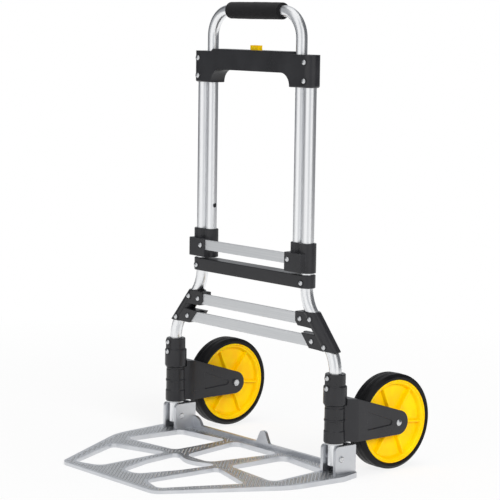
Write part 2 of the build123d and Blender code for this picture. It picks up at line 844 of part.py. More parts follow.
# Fork: hub on the leg, flared web and two tapering arms with sunk panels
hub_band_z = hub_low_z + hub_band_up
hub_groove_z = hub_high_z - hub_groove_down
hub_foot_z = hub_low_z + hub_foot_h
fork_side_plane = Plane((leg_x + wheel_out, leg_y, 0), x_dir=(0, 1, 0), z_dir=(1, 0, 0))
with BuildPart() as fork:
    with BuildSketch(level(arm_low_z, leg_x)):
        with BuildLine():
            Polyline(
                (flare_in - hub_r, 0),
                (flare_in - hub_r, flare_start_y),
                (wheel_out - arm_out, flare_end_y),
                (wheel_out - arm_out, axle_back + arm_nose_r),
                (wheel_out - arm_side, axle_back + arm_nose_r),
                (wheel_out - arm_side, web_end_y),
                (wheel_out + arm_side, web_end_y),
                (wheel_out + arm_side, axle_back + arm_nose_r),
                (wheel_out + arm_out, axle_back + arm_nose_r),
                (wheel_out + arm_out, flare_end_y),
                (hub_r - flare_in, flare_start_y),
                (hub_r - flare_in, 0),
                close=True,
            )
        make_face()
    extrude(amount=arm_high_z - arm_low_z)
    with BuildSketch(fork_side_plane):
        with Locations((axle_back, wheel_r)):
            Circle(arm_nose_r)
        with Locations((0, (arm_low_z + arm_high_z) / 2)):
            Rectangle(2 * flare_end_y, arm_high_z - arm_low_z)
        make_hull()
    extrude(amount=2 * arm_out, both=True, mode=Mode.INTERSECT)
    for side in (-1, 1):
        with BuildSketch(fork_side_plane.offset(side * arm_out)):
            with Locations((axle_back - arm_nose_r, wheel_r + panel_tip_up)):
                Circle(panel_tip_r)
            with Locations((panel_root_y, wheel_r + panel_root_up)):
                Rectangle(panel_root_w, panel_root_h)
            make_hull()
        extrude(amount=-side * panel_depth, mode=Mode.SUBTRACT)
    with Locations((leg_x, leg_y, hub_high_z)):
        Cylinder(collar_wide_r + 2 * slide, 2 * arm_over_hub, align=(Align.CENTER, Align.CENTER, Align.MIN),
                 mode=Mode.SUBTRACT)
    with BuildSketch(Plane((leg_x, leg_y, 0), x_dir=(1, 0, 0), z_dir=(0, -1, 0))):
        with BuildLine():
            Polyline(
                (0, hub_low_z),
                (hub_foot_r - hub_edge, hub_low_z),
                (hub_foot_r, hub_low_z + hub_edge),
                (hub_foot_r, hub_foot_z),
                (hub_r, hub_foot_z + hub_edge),
                (hub_r, hub_band_z),
                (hub_r + hub_band_out, hub_band_z + hub_bevel),
                (hub_r + hub_band_out, hub_band_z + hub_band_h - hub_bevel),
                (hub_r, hub_band_z + hub_band_h),
                (hub_r, hub_groove_z),
                (hub_r - hub_groove_in, hub_groove_z + hub_bevel),
                (hub_r - hub_groove_in, hub_groove_z + hub_groove_h - hub_bevel),
                (hub_r, hub_groove_z + hub_groove_h),
                (hub_r, hub_high_z),
                (0, hub_high_z),
                close=True,
            )
        make_face()
    revolve(axis=Axis((leg_x, leg_y, 0), (0, 0, 1)))
    with Locations((leg_x, leg_y, hub_foot_z)):
        Cylinder(tube_r + run, 4 * hub_foot_z, mode=Mode.SUBTRACT)
    groove_low_z = cam_pin_z - rod_stroke * (1 + groove_run_out / 90.0)
    groove_turn = -90.0 - groove_run_out
    groove_foot = (leg_x, leg_y, groove_low_z)
    with Locations(*[Location(groove_foot, (0, 0, groove_turn + half)) for half in (0, 180)]):
        add(cam_groove(), mode=Mode.SUBTRACT)
    with Locations(sideways(axle_x, axle_y, wheel_r)):
        Cylinder(axle_d / 2 + fit, 4 * arm_out, mode=Mode.SUBTRACT)
save_pair(fork, "fork")

# Axle: bolt with a low dome head outside, nut inside
bolt_in = arm_out + nut_h
dome_out, dome_up = dome_point(bolt_head_d / 2, bolt_head_h)
with BuildPart() as axle_bolt:
    with BuildSketch(Plane((axle_x, axle_y, wheel_r))):
        with BuildLine():
            Polyline(
                (-bolt_in, 0),
                (-bolt_in, axle_d / 2),
                (arm_out, axle_d / 2),
                (arm_out, bolt_head_d / 2),
            )
            ThreePointArc(
                (arm_out, bolt_head_d / 2),
                (arm_out + dome_up, dome_out),
                (arm_out + bolt_head_h, 0),
            )
            Line((arm_out + bolt_head_h, 0), (-bolt_in, 0))
        make_face()
    revolve(axis=Axis((axle_x, axle_y, wheel_r), (1, 0, 0)))
save_pair(axle_bolt, "axle_bolt")

with BuildPart() as axle_nut:
    with BuildSketch(Plane((axle_x - arm_out, axle_y, wheel_r), x_dir=(0, 1, 0), z_dir=(-1, 0, 0))):
        RegularPolygon(nut_across / 2, 6)
        Circle(axle_d / 2 + fit, mode=Mode.SUBTRACT)
    extrude(amount=nut_h)
save_pair(axle_nut, "axle_nut")

# Wheel: bush, yellow hub with ribs on both sides, and tyre on the hub's rim
wheel_profile_plane = Plane((axle_x, axle_y, wheel_r), x_dir=(1, 0, 0), z_dir=(0, -1, 0))
wheel_axis = Axis((axle_x, axle_y, wheel_r), (1, 0, 0))
bush_half = arm_side - bush_room
hub_face = bush_half - bush_proud
with BuildPart() as wheel_bush:
    with Locations(sideways(axle_x, axle_y, wheel_r)):
        Cylinder(bush_d / 2, 2 * bush_half)
        Cylinder(axle_d / 2 + run, 4 * bush_half, mode=Mode.SUBTRACT)
save_pair(wheel_bush, "wheel_bush")

with BuildPart() as wheel_hub:
    with BuildSketch(wheel_profile_plane):
        with BuildLine():
            Polyline(
                (0, bush_d / 2 + fit),
                (hub_face, bush_d / 2 + fit),
                (hub_face, wheel_hub_r - wheel_hub_edge),
                (hub_face - wheel_hub_edge, wheel_hub_r),
                (wheel_web_half, wheel_hub_r + rim_lip),
                (wheel_web_half + web_rise, rim_inner_r - rim_lip),
                (rim_half - wheel_hub_edge, rim_inner_r),
                (rim_half - web_rise, rim_inner_r + wheel_hub_edge),
                (rim_half, rim_r - rim_lip),
                (rim_half, rim_r),
                (key_half, rim_r),
                (key_half, rim_r + key_h),
                (0, rim_r + key_h),
            )
            mirror(about=Plane.YZ)
        make_face()
    revolve(axis=wheel_axis)
    rib_length = rim_inner_r - wheel_hub_r + wheel_rib_w
    with Locations(Plane((axle_x, axle_y, wheel_r), x_dir=(0, 1, 0), z_dir=(1, 0, 0))):
        with PolarLocations((rim_inner_r + wheel_hub_r) / 2, wheel_ribs, start_angle=wheel_rib_turn):
            Box(rib_length, wheel_rib_w, 2 * wheel_rib_half)
save_pair(wheel_hub, "wheel_hub")

with BuildPart() as tyre:
    with BuildSketch(wheel_profile_plane):
        with BuildLine():
            Polyline(
                (0, rim_r + key_h + fit),
                (key_half + fit, rim_r + key_h + fit),
                (key_half + fit, rim_r + fit),
                (rim_half, rim_r + fit),
                (tyre_half - tyre_bead, rim_r + tyre_bead),
                (tyre_half, rim_r + tyre_wall_h),
            )
            ThreePointArc(
                (tyre_half, rim_r + tyre_wall_h),
                (tyre_half - shoulder_in, wheel_r - shoulder_h),
                (tread_half, wheel_r),
            )
            Line((tread_half, wheel_r), (0, wheel_r))
            mirror(about=Plane.YZ)
        make_face()
    revolve(axis=wheel_axis)
save_pair(tyre, "tyre")

# Toe plate: cast, thinner to its tip, with six openings, back rim, lug and two clevises. The corners of the
# outline and of the openings are placed by shares of the plate's half width and of its reach.
plate_side_corners = [
    corner(0.513, 1.0, plate_front_r),
    corner(0.966, 0.366, plate_side_r),
    corner(1.0, 0.025, plate_end_r),
    (plate_half - plate_back_in, plate_back, plate_back_r),
]
rear_centre = [corner(0.238, -0.050, opening_corner_r), corner(0.130, 0.385, opening_bend_r)]
front_centre = [
    corner(0.230, 0.379, opening_tip_r),
    corner(0.180, 0.621, opening_sweep_r),
    corner(0.077, 0.848, opening_bend_r),
]
front_centre_dip = [corner(0.0, 0.457, opening_sweep_r)]
rear_outer = [
    corner(0.307, -0.034, opening_corner_r),
    corner(0.770, 0.012, opening_corner_r),
    corner(0.808, 0.394, opening_corner_r),
    corner(0.299, 0.351, opening_corner_r),
]
front_outer = [
    corner(0.280, 0.422, opening_tip_r),
    corner(0.728, 0.531, opening_tip_r),
    corner(0.467, 0.944, opening_corner_r),
    corner(0.253, 0.894, opening_bend_r),
]
openings = [
    rear_centre + mirrored(rear_centre),
    front_centre_dip + front_centre + mirrored(front_centre),
    rear_outer,
    mirrored(rear_outer),
    front_outer,
    mirrored(front_outer),
]
back_plane = Plane((0, leg_y + plate_back, 0), x_dir=(1, 0, 0), z_dir=(0, -1, 0))
with BuildPart() as toe_plate:
    with BuildSketch(level(0)) as plate_outline:
        rounded_face(plate_outline, plate_side_corners + mirrored(plate_side_corners))
    extrude(amount=plate_t)
    with BuildSketch(Plane((0, leg_y, 0), x_dir=(0, 1, 0), z_dir=(1, 0, 0))):
        with BuildLine():
            Polyline((0, plate_t), (-plate_reach, plate_tip_t), (-plate_reach, plate_t), close=True)
        make_face()
    extrude(amount=plate_half, both=True, mode=Mode.SUBTRACT)
    for corners in openings:
        with BuildSketch(level(0)) as opening:
            rounded_face(opening, corners)
        extrude(amount=plate_t, mode=Mode.SUBTRACT)
    with BuildSketch(back_plane) as rim:
        with Locations((0, (plate_t + rim_h) / 2)):
            Rectangle(2 * rim_half_length, rim_h - plate_t)
        with BuildLine():
            Polyline((lug_w / 2, rim_h), (lug_top_w / 2, rim_h + lug_h), (-lug_top_w / 2, rim_h + lug_h),
                     (-lug_w / 2, rim_h), close=True)
        make_face()
        fillet(rim.vertices().group_by(Axis.Y)[-1], lug_top_r)
        fillet(rim.vertices().filter_by(lambda v: abs(abs(v.X) - lug_w / 2) < fit), lug_foot_r)
    extrude(amount=rim_w)
    for side in (-1, 1):
        clevis_side = Plane((side * leg_x, leg_y, 0), x_dir=(0, 1, 0), z_dir=(1, 0, 0))
        with BuildSketch(clevis_side) as cheek:
            with Locations(((plate_back - clevis_front) / 2, (pin_z + clevis_top) / 2)):
                Rectangle(plate_back + clevis_front, pin_z + clevis_top)
            fillet(cheek.vertices().group_by(Axis.Y)[-1].sort_by(Axis.X)[0], clevis_corner_r)
            fillet(cheek.vertices().group_by(Axis.Y)[-1].sort_by(Axis.X)[-1], clevis_back_r)
        extrude(amount=clevis_half, both=True)
        with Locations((side * leg_x, leg_y + plate_back - rim_w, plate_t)):
            Box(2 * clevis_gap_half, 3 * plate_back, 2 * pin_z, align=(Align.CENTER, Align.MAX, Align.MIN),
                mode=Mode.SUBTRACT)
        with Locations(sideways(side * leg_x, leg_y, pin_z)):
            Cylinder(hinge_pin_d / 2 + fit, 3 * clevis_half, mode=Mode.SUBTRACT)
        with Locations(sideways(side * leg_x, leg_y + crank_y, crank_z)):
            Cylinder(crank_pin_d / 2 + fit, 2 * (clevis_gap_half + crank_seat), mode=Mode.SUBTRACT)
        with BuildSketch(back_plane):
            with BuildLine():
                RadiusArc(
                    (side * (rim_half_length - web_w), rim_h),
                    (side * rim_half_length, rim_h + web_h),
                    side * web_r,
                )
                Line((side * rim_half_length, rim_h + web_h), (side * rim_half_length, rim_h))
                Line((side * rim_half_length, rim_h), (side * (rim_half_length - web_w), rim_h))
            make_face()
        extrude(amount=rim_w)
save(toe_plate.part, "toe_plate")

# Hinge pin through the clevis and the leg, with a low dome at each end
with BuildPart() as hinge_pin:
    with Locations(sideways(leg_x, leg_y, pin_z)):
        Cylinder(hinge_pin_d / 2, 2 * clevis_half)
    for side in (-1, 1):
        with Locations(sideways(leg_x + side * (clevis_half + pin_head_h / 2), leg_y, pin_z)):
            Cylinder(pin_head_d / 2, pin_head_h)
    ends = hinge_pin.edges().filter_by(GeomType.CIRCLE).group_by(Axis.X)
    fillet(ends[0] + ends[-1], pin_head_h - pin_head_flat)
save_pair(hinge_pin, "hinge_pin")

# Crank pin across the clevis, behind the hinge
with BuildPart() as crank_pin:
    with Locations(sideways(leg_x, leg_y + crank_y, crank_z)):
        Cylinder(crank_pin_d / 2, 2 * (clevis_gap_half + crank_seat) - 2 * fit)
save_pair(crank_pin, "crank_pin")

# Lift rod inside the leg: plunger above, slotted tongue for the crank pin below
rod_r = bore_r - slide
tongue_front = hinge_pin_d / 2 + tongue_room
tongue_low_z = crank_z - tongue_under
tongue_top_z = crank_z + tongue_t
neck_back = (rod_r ** 2 - (tongue_t / 2) ** 2) ** 0.5
with BuildPart() as lift_rod:
    with Locations((leg_x, leg_y, rod_low_z)):
        Cylinder(rod_r, rod_high_z - rod_low_z, align=(Align.CENTER, Align.CENTER, Align.MIN))
    with Locations((leg_x, leg_y + tongue_front, tongue_low_z)):
        Box(tongue_t, neck_back - tongue_front, rod_low_z - tongue_low_z + tube_wall,
            align=(Align.CENTER, Align.MIN, Align.MIN))
        Box(tongue_t, tongue_back - tongue_front, tongue_top_z - tongue_low_z,
            align=(Align.CENTER, Align.MIN, Align.MIN))
    with BuildSketch(Plane((leg_x, leg_y, crank_z), x_dir=(0, 1, 0), z_dir=(1, 0, 0))):
        with Locations(((crank_y + crank_r) / 2, 0)):
            SlotCenterToCenter(crank_r - crank_y + yoke_room, crank_pin_d + 2 * yoke_room)
    extrude(amount=tongue_t, both=True, mode=Mode.SUBTRACT)
    with Locations(sideways(leg_x, leg_y, cam_pin_z)):
        Cylinder(cam_pin_d / 2 + fit, 4 * rod_r, mode=Mode.SUBTRACT)
save_pair(lift_rod, "lift_rod")

# Cam pin: crosses the rod and the leg's slots into the fork's spiral groove
with BuildPart() as cam_pin:
    with Locations(sideways(leg_x, leg_y, cam_pin_z)):
        Cylinder(cam_pin_d / 2, 2 * cam_pin_half)
save_pair(cam_pin, "cam_pin")
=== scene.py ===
import json
import math

import bpy
from mathutils import Matrix, Vector


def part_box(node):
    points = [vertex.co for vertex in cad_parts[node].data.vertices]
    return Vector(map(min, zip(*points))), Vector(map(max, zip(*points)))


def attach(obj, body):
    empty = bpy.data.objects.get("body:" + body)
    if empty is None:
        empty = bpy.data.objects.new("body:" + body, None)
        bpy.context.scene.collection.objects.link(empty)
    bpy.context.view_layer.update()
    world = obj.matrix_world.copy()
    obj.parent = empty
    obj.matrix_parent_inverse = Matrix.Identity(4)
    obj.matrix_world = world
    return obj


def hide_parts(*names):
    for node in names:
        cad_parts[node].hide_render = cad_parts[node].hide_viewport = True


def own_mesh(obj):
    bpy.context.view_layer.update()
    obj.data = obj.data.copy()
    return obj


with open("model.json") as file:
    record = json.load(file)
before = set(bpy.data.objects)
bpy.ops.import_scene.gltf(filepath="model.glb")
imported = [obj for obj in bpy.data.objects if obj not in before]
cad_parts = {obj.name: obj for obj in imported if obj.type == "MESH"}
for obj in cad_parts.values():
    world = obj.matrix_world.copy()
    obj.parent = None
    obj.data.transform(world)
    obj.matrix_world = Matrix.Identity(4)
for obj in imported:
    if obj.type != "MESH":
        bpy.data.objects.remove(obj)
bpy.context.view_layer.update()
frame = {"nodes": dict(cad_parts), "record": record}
scene = bpy.context.scene
scene.view_settings.view_transform = "Standard"
bodies = frame["record"]["behaviour"]["bodies"]
bodyOf = {node: body for body, members in bodies.items() for node in members}
print("frame loaded:", len(frame["nodes"]), "nodes")


# camera, solved from the tubes, the bars and the plate's edges in the photograph
cameraLook = {
    "azimuth": 50.0,
    "elevation": 7.1,
    "roll": 0.82,
    "place": (2.63195, -2.16159, 0.80127),
    "lens": 139.03,
    "sensor": 36.0,
    "farthest": 50.0,
}


def addCamera(look):
    turn, rise, roll = (math.radians(look[key]) for key in ("azimuth", "elevation", "roll"))
    flat = math.cos(rise)
    back = Vector((math.sin(turn) * flat, -math.cos(turn) * flat, math.sin(rise)))
    level = Vector((math.cos(turn), math.sin(turn), 0.0))
    upright = back.cross(level)
    right = math.cos(roll) * level + math.sin(roll) * upright
    up = -math.sin(roll) * level + math.cos(roll) * upright
    facing = Matrix((right, up, back)).transposed().to_4x4()
    bpy.ops.object.camera_add()
    camera = bpy.context.object
    camera.matrix_world = Matrix.Translation(look["place"]) @ facing
    camera.data.lens = look["lens"]
    camera.data.sensor_width = look["sensor"]
    camera.data.clip_end = look["farthest"]
    scene.camera = camera


addCamera(cameraLook)
print("camera set")


# small tools for materials
def hexColour(code):
    parts = [int(code[i:i + 2], 16) / 255 for i in (0, 2, 4)]
    linear = [p / 12.92 if p <= 0.04045 else ((p + 0.055) / 1.055) ** 2.4 for p in parts]
    return (*linear, 1.0)


def perMetre(millimetres):
    return 1000.0 / millimetres


def addNode(tree, kind, settings=None, links=None):
    node = tree.nodes.new(kind)
    for key, value in (settings or {}).items():
        if key == "ramp":
            for element, (place, code) in zip(node.color_ramp.elements, value):
                element.position = place
                element.color = hexColour(code)
        elif key in node.inputs:
            node.inputs[key].default_value = value
        else:
            setattr(node, key, value)
    for key, source in (links or {}).items():
        tree.links.new(source, node.inputs[key])
    return node


def newMaterial(name, settings):
    material = bpy.data.materials.new(name)
    material.use_nodes = True
    tree = material.node_tree
    shader = tree.nodes["Principled BSDF"]
    for key, value in settings.items():
        shader.inputs[key].default_value = value
    objectPlace = addNode(tree, "ShaderNodeTexCoord").outputs["Object"]
    return material, tree, shader, objectPlace


# in the finishes, tones gives the pattern's value and the colour at both ends of a ramp, and
# roughness what the pattern's low and high values give; lines, grain, cells and sand are too fine
# for the picture in the real materials, so they are drawn as coarse as they need to be to show
patternSpan = {"From Min": 0.3, "From Max": 0.7}  # where most of a noise pattern's values lie


# anodised aluminium tube, drawn and satin etched: a bright soft highlight with faint lines along
# the draw
tubeFinish = {
    "tones": [(0.3, "EEEFF1"), (0.7, "F8F9FA")],
    "lineMm": 1.5,
    "runMm": 120.0,
    "roughness": (0.33, 0.27),
}


def makeTubeFinish(look):
    material, tree, shader, place = newMaterial("anodisedTube", {"Metallic": 1.0})
    across, along = perMetre(look["lineMm"]), perMetre(look["runMm"])
    drawn = addNode(tree, "ShaderNodeMapping", {"Scale": (across, across, along)},
                    {"Vector": place})
    lines = addNode(tree, "ShaderNodeTexNoise", {"Scale": 1.0, "Detail": 4.0},
                    {"Vector": drawn.outputs["Vector"]})
    tone = addNode(tree, "ShaderNodeValToRGB", {"ramp": look["tones"]},
                   {"Fac": lines.outputs["Fac"]})
    low, high = look["roughness"]
    rough = addNode(tree, "ShaderNodeMapRange", {**patternSpan, "To Min": low, "To Max": high},
                    {"Value": lines.outputs["Fac"]})
    tree.links.new(tone.outputs["Color"], shader.inputs["Base Color"])
    tree.links.new(rough.outputs["Result"], shader.inputs["Roughness"])
    return material


# mill-finished aluminium strip: greyer and duller than the tube, brushed along its length
barFinish = {
    "tones": [(0.32, "DADCDE"), (0.68, "E4E5E6")],
    "lineMm": 0.9,
    "runMm": 160.0,
    "roughness": (0.52, 0.44),
    "bump": 0.05,
    "bumpMm": 0.1,
}


def makeBarFinish(look):
    material, tree, shader, place = newMaterial("brushedStrip", {"Metallic": 1.0})
    across, along = perMetre(look["lineMm"]), perMetre(look["runMm"])
    brushed = addNode(tree, "ShaderNodeMapping", {"Scale": (along, across, across)},
                      {"Vector": place})
    lines = addNode(tree, "ShaderNodeTexNoise", {"Scale": 1.0, "Detail": 5.0},
                    {"Vector": brushed.outputs["Vector"]})
    tone = addNode(tree, "ShaderNodeValToRGB", {"ramp": look["tones"]},
                   {"Fac": lines.outputs["Fac"]})
    low, high = look["roughness"]
    rough = addNode(tree, "ShaderNodeMapRange", {**patternSpan, "To Min": low, "To Max": high},
                    {"Value": lines.outputs["Fac"]})
    lift = addNode(tree, "ShaderNodeBump",
                   {"Strength": look["bump"], "Distance": look["bumpMm"] / 1000},
                   {"Height": lines.outputs["Fac"]})
    tree.links.new(tone.outputs["Color"], shader.inputs["Base Color"])
    tree.links.new(rough.outputs["Result"], shader.inputs["Roughness"])
    tree.links.new(lift.outputs["Normal"], shader.inputs["Normal"])
    return material


# glass-filled nylon, moulded in a spark-eroded tool: near black, with a fine even grain that
# softens the shine
mouldedFinish = {
    "tones": [(0.35, "1C1C1F"), (0.8, "28282B")],
    "grainMm": 1.1,
    "cloudMm": 45.0,
    "roughness": (0.26, 0.38),
    "specular": 0.4,
    "bump": 0.25,
    "bumpMm": 0.2,
}


def makeMouldedFinish(look):
    material, tree, shader, place = newMaterial(
        "mouldedNylon", {"IOR": 1.53, "Specular IOR Level": look["specular"]})
    grain = addNode(tree, "ShaderNodeTexNoise",
                    {"Scale": perMetre(look["grainMm"]), "Detail": 3.0}, {"Vector": place})
    cloud = addNode(tree, "ShaderNodeTexNoise",
                    {"Scale": perMetre(look["cloudMm"]), "Detail": 4.0}, {"Vector": place})
    tone = addNode(tree, "ShaderNodeValToRGB", {"ramp": look["tones"]},
                   {"Fac": cloud.outputs["Fac"]})
    low, high = look["roughness"]
    rough = addNode(tree, "ShaderNodeMapRange", {**patternSpan, "To Min": low, "To Max": high},
                    {"Value": cloud.outputs["Fac"]})
    lift = addNode(tree, "ShaderNodeBump",
                   {"Strength": look["bump"], "Distance": look["bumpMm"] / 1000},
                   {"Height": grain.outputs["Fac"]})
    tree.links.new(tone.outputs["Color"], shader.inputs["Base Color"])
    tree.links.new(rough.outputs["Result"], shader.inputs["Roughness"])
    tree.links.new(lift.outputs["Normal"], shader.inputs["Normal"])
    return material


# ABS, moulded in a polished tool and coloured through: an even warm yellow with a low gloss and
# slight flow marks
yellowFinish = {
    "tones": [(0.3, "FFC400"), (0.7, "FFD600")],
    "cloudMm": 30.0,
    "roughness": (0.3, 0.42),
    "specular": 0.15,
    "glow": 0.2,
    "glowMm": 2.0,
}


def makeYellowFinish(look):
    material, tree, shader, place = newMaterial("yellowAbs", {
        "IOR": 1.54,
        "Specular IOR Level": look["specular"],
        "Subsurface Weight": look["glow"],
        "Subsurface Radius": (1.0, 0.35, 0.05),
        "Subsurface Scale": look["glowMm"] / 1000,
    })
    cloud = addNode(tree, "ShaderNodeTexNoise",
                    {"Scale": perMetre(look["cloudMm"]), "Detail": 2.0}, {"Vector": place})
    tone = addNode(tree, "ShaderNodeValToRGB", {"ramp": look["tones"]},
                   {"Fac": cloud.outputs["Fac"]})
    low, high = look["roughness"]
    rough = addNode(tree, "ShaderNodeMapRange", {**patternSpan, "To Min": low, "To Max": high},
                    {"Value": cloud.outputs["Fac"]})
    tree.links.new(tone.outputs["Color"], shader.inputs["Base Color"])
    tree.links.new(rough.outputs["Result"], shader.inputs["Roughness"])
    return material


# closed-cell nitrile foam: dead black, with the burst cells of its skin showing as tiny pits
foamFinish = {
    "tones": [(0.15, "0A0A0B"), (0.75, "161618")],
    "cellMm": 1.3,
    "roughness": 0.92,
    "specular": 0.15,
    "bump": 0.6,
    "bumpMm": 0.4,
}


def makeFoamFinish(look):
    material, tree, shader, place = newMaterial("nitrileFoam", {
        "IOR": 1.45,
        "Roughness": look["roughness"],
        "Specular IOR Level": look["specular"],
        "Sheen Weight": 0.08,
        "Sheen Roughness": 0.6,
    })
    cells = addNode(tree, "ShaderNodeTexVoronoi", {"Scale": perMetre(look["cellMm"])},
                    {"Vector": place})
    tone = addNode(tree, "ShaderNodeValToRGB", {"ramp": look["tones"]},
                   {"Fac": cells.outputs["Distance"]})
    lift = addNode(tree, "ShaderNodeBump",
                   {"Strength": look["bump"], "Distance": look["bumpMm"] / 1000},
                   {"Height": cells.outputs["Distance"]})
    tree.links.new(tone.outputs["Color"], shader.inputs["Base Color"])
    tree.links.new(lift.outputs["Normal"], shader.inputs["Normal"])
    return material


# thermoplastic rubber, moulded: soft black with a dusty bloom in patches
rubberFinish = {
    "tones": [(0.4, "0A0A0B"), (0.85, "161617")],
    "grainMm": 0.8,
    "bloomMm": 18.0,
    "roughness": (0.36, 0.52),
    "specular": 0.22,
    "bump": 0.2,
    "bumpMm": 0.2,
}


def makeRubberFinish(look):
    material, tree, shader, place = newMaterial(
        "tyreRubber", {"IOR": 1.5, "Specular IOR Level": look["specular"]})
    grain = addNode(tree, "ShaderNodeTexNoise",
                    {"Scale": perMetre(look["grainMm"]), "Detail": 2.0}, {"Vector": place})
    bloom = addNode(tree, "ShaderNodeTexNoise",
                    {"Scale": perMetre(look["bloomMm"]), "Detail": 5.0}, {"Vector": place})
    tone = addNode(tree, "ShaderNodeValToRGB", {"ramp": look["tones"]},
                   {"Fac": bloom.outputs["Fac"]})
    low, high = look["roughness"]
    rough = addNode(tree, "ShaderNodeMapRange", {**patternSpan, "To Min": low, "To Max": high},
                    {"Value": bloom.outputs["Fac"]})
    lift = addNode(tree, "ShaderNodeBump",
                   {"Strength": look["bump"], "Distance": look["bumpMm"] / 1000},
                   {"Height": grain.outputs["Fac"]})
    tree.links.new(tone.outputs["Color"], shader.inputs["Base Color"])
    tree.links.new(rough.outputs["Result"], shader.inputs["Roughness"])
    tree.links.new(lift.outputs["Normal"], shader.inputs["Normal"])
    return material


# die-cast aluminium, shot blasted: pale grey and satin, with a sandy skin and cloudy flow marks
castFinish = {
    "tones": [(0.3, "D0D2D6"), (0.7, "DFE1E4")],
    "sandMm": 0.9,
    "cloudMm": 28.0,
    "roughness": (0.34, 0.46),
    "bump": 0.3,
    "bumpMm": 0.2,
}


def makeCastFinish(look):
    material, tree, shader, place = newMaterial("blastedCasting", {"Metallic": 1.0})
    sand = addNode(tree, "ShaderNodeTexNoise",
                   {"Scale": perMetre(look["sandMm"]), "Detail": 2.0}, {"Vector": place})
    cloud = addNode(tree, "ShaderNodeTexNoise",
                    {"Scale": perMetre(look["cloudMm"]), "Detail": 5.0}, {"Vector": place})
    tone = addNode(tree, "ShaderNodeValToRGB", {"ramp": look["tones"]},
                   {"Fac": cloud.outputs["Fac"]})
    low, high = look["roughness"]
    rough = addNode(tree, "ShaderNodeMapRange", {**patternSpan, "To Min": low, "To Max": high},
                    {"Value": cloud.outputs["Fac"]})
    lift = addNode(tree, "ShaderNodeBump",
                   {"Strength": look["bump"], "Distance": look["bumpMm"] / 1000},
                   {"Height": sand.outputs["Fac"]})
    tree.links.new(tone.outputs["Color"], shader.inputs["Base Color"])
    tree.links.new(rough.outputs["Result"], shader.inputs["Roughness"])
    tree.links.new(lift.outputs["Normal"], shader.inputs["Normal"])
    return material


# zinc-plated steel: bright and smooth with a faint milky mottle
zincFinish = {
    "tones": [(0.3, "BFC1C4"), (0.7, "DDDEDF")],
    "mottleMm": 2.5,
    "roughness": (0.18, 0.32),
}


def makeZincFinish(look):
    material, tree, shader, place = newMaterial("zincPlatedSteel", {"Metallic": 1.0})
    mottle = addNode(tree, "ShaderNodeTexNoise",
                     {"Scale": perMetre(look["mottleMm"]), "Detail": 3.0}, {"Vector": place})
    tone = addNode(tree, "ShaderNodeValToRGB", {"ramp": look["tones"]},
                   {"Fac": mottle.outputs["Fac"]})
    low, high = look["roughness"]
    rough = addNode(tree, "ShaderNodeMapRange", {**patternSpan, "To Min": low, "To Max": high},
                    {"Value": mottle.outputs["Fac"]})
    tree.links.new(tone.outputs["Color"], shader.inputs["Base Color"])
    tree.links.new(rough.outputs["Result"], shader.inputs["Roughness"])
    return material


# acetal for the hidden running parts: milky grey with a waxy shine
waxyFinish = {
    "tones": [(0.3, "7B7D80"), (0.7, "8E9093")],
    "cloudMm": 12.0,
    "roughness": (0.3, 0.45),
}


def makeWaxyFinish(look):
    material, tree, shader, place = newMaterial("greyAcetal", {"IOR": 1.48})
    cloud = addNode(tree, "ShaderNodeTexNoise",
                    {"Scale": perMetre(look["cloudMm"]), "Detail": 2.0}, {"Vector": place})
    tone = addNode(tree, "ShaderNodeValToRGB", {"ramp": look["tones"]},
                   {"Fac": cloud.outputs["Fac"]})
    low, high = look["roughness"]
    rough = addNode(tree, "ShaderNodeMapRange", {**patternSpan, "To Min": low, "To Max": high},
                    {"Value": cloud.outputs["Fac"]})
    tree.links.new(tone.outputs["Color"], shader.inputs["Base Color"])
    tree.links.new(rough.outputs["Result"], shader.inputs["Roughness"])
    return material


finishes = {
    "tube_aluminium": makeTubeFinish(tubeFinish),
    "bar_aluminium": makeBarFinish(barFinish),
    "black_plastic": makeMouldedFinish(mouldedFinish),
    "yellow_plastic": makeYellowFinish(yellowFinish),
    "grey_nylon": makeWaxyFinish(waxyFinish),
    "foam": makeFoamFinish(foamFinish),
    "tyre_rubber": makeRubberFinish(rubberFinish),
    "cast_aluminium": makeCastFinish(castFinish),
    "steel": makeZincFinish(zincFinish),
}
print("materials made:", len(finishes))


# small tools for modelling, with the values that several pieces share; in the pieces' settings,
# sizes are in millimetres, angles in degrees and places in metres
mergeDistance = {"node": 0.000002, "turned": 0.00001}  # metres, in a node's copy and a turned shape
squareOn = 0.9  # a normal's share along an axis, from which a face counts as facing that way
creaseAngle = 35  # degrees, from which an edge is rounded
weightedNormals = {"mode": "FACE_AREA", "weight": 50, "keep_sharp": True}


def deselect():
    if bpy.context.object and bpy.context.object.mode == "EDIT":
        bpy.ops.object.mode_set(mode="OBJECT")
    bpy.ops.object.select_all(action="DESELECT")


def only(piece):
    deselect()
    piece.select_set(True)
    bpy.context.view_layer.objects.active = piece


def pickFaces(piece, wanted):
    bpy.ops.object.mode_set(mode="EDIT")
    bpy.ops.mesh.select_mode(type="FACE")
    bpy.ops.mesh.select_all(action="DESELECT")
    bpy.ops.object.mode_set(mode="OBJECT")
    for face in piece.data.polygons:
        face.select = wanted(face.center, face.normal)
    bpy.ops.object.mode_set(mode="EDIT")


def applyModifier(piece, kind, settings):
    only(piece)
    modifier = piece.modifiers.new(kind.lower(), kind)
    for key, value in settings.items():
        setattr(modifier, key, value)
    bpy.ops.object.modifier_apply(modifier=modifier.name)


def finishPiece(piece, nodes, slot, smoothAngle):
    only(piece)
    bpy.ops.object.transform_apply(location=True, rotation=True, scale=True)
    bpy.ops.object.shade_smooth_by_angle(angle=math.radians(smoothAngle))
    piece.data.materials.clear()
    piece.data.materials.append(finishes[slot])
    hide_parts(*nodes)
    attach(piece, bodyOf[nodes[0]])


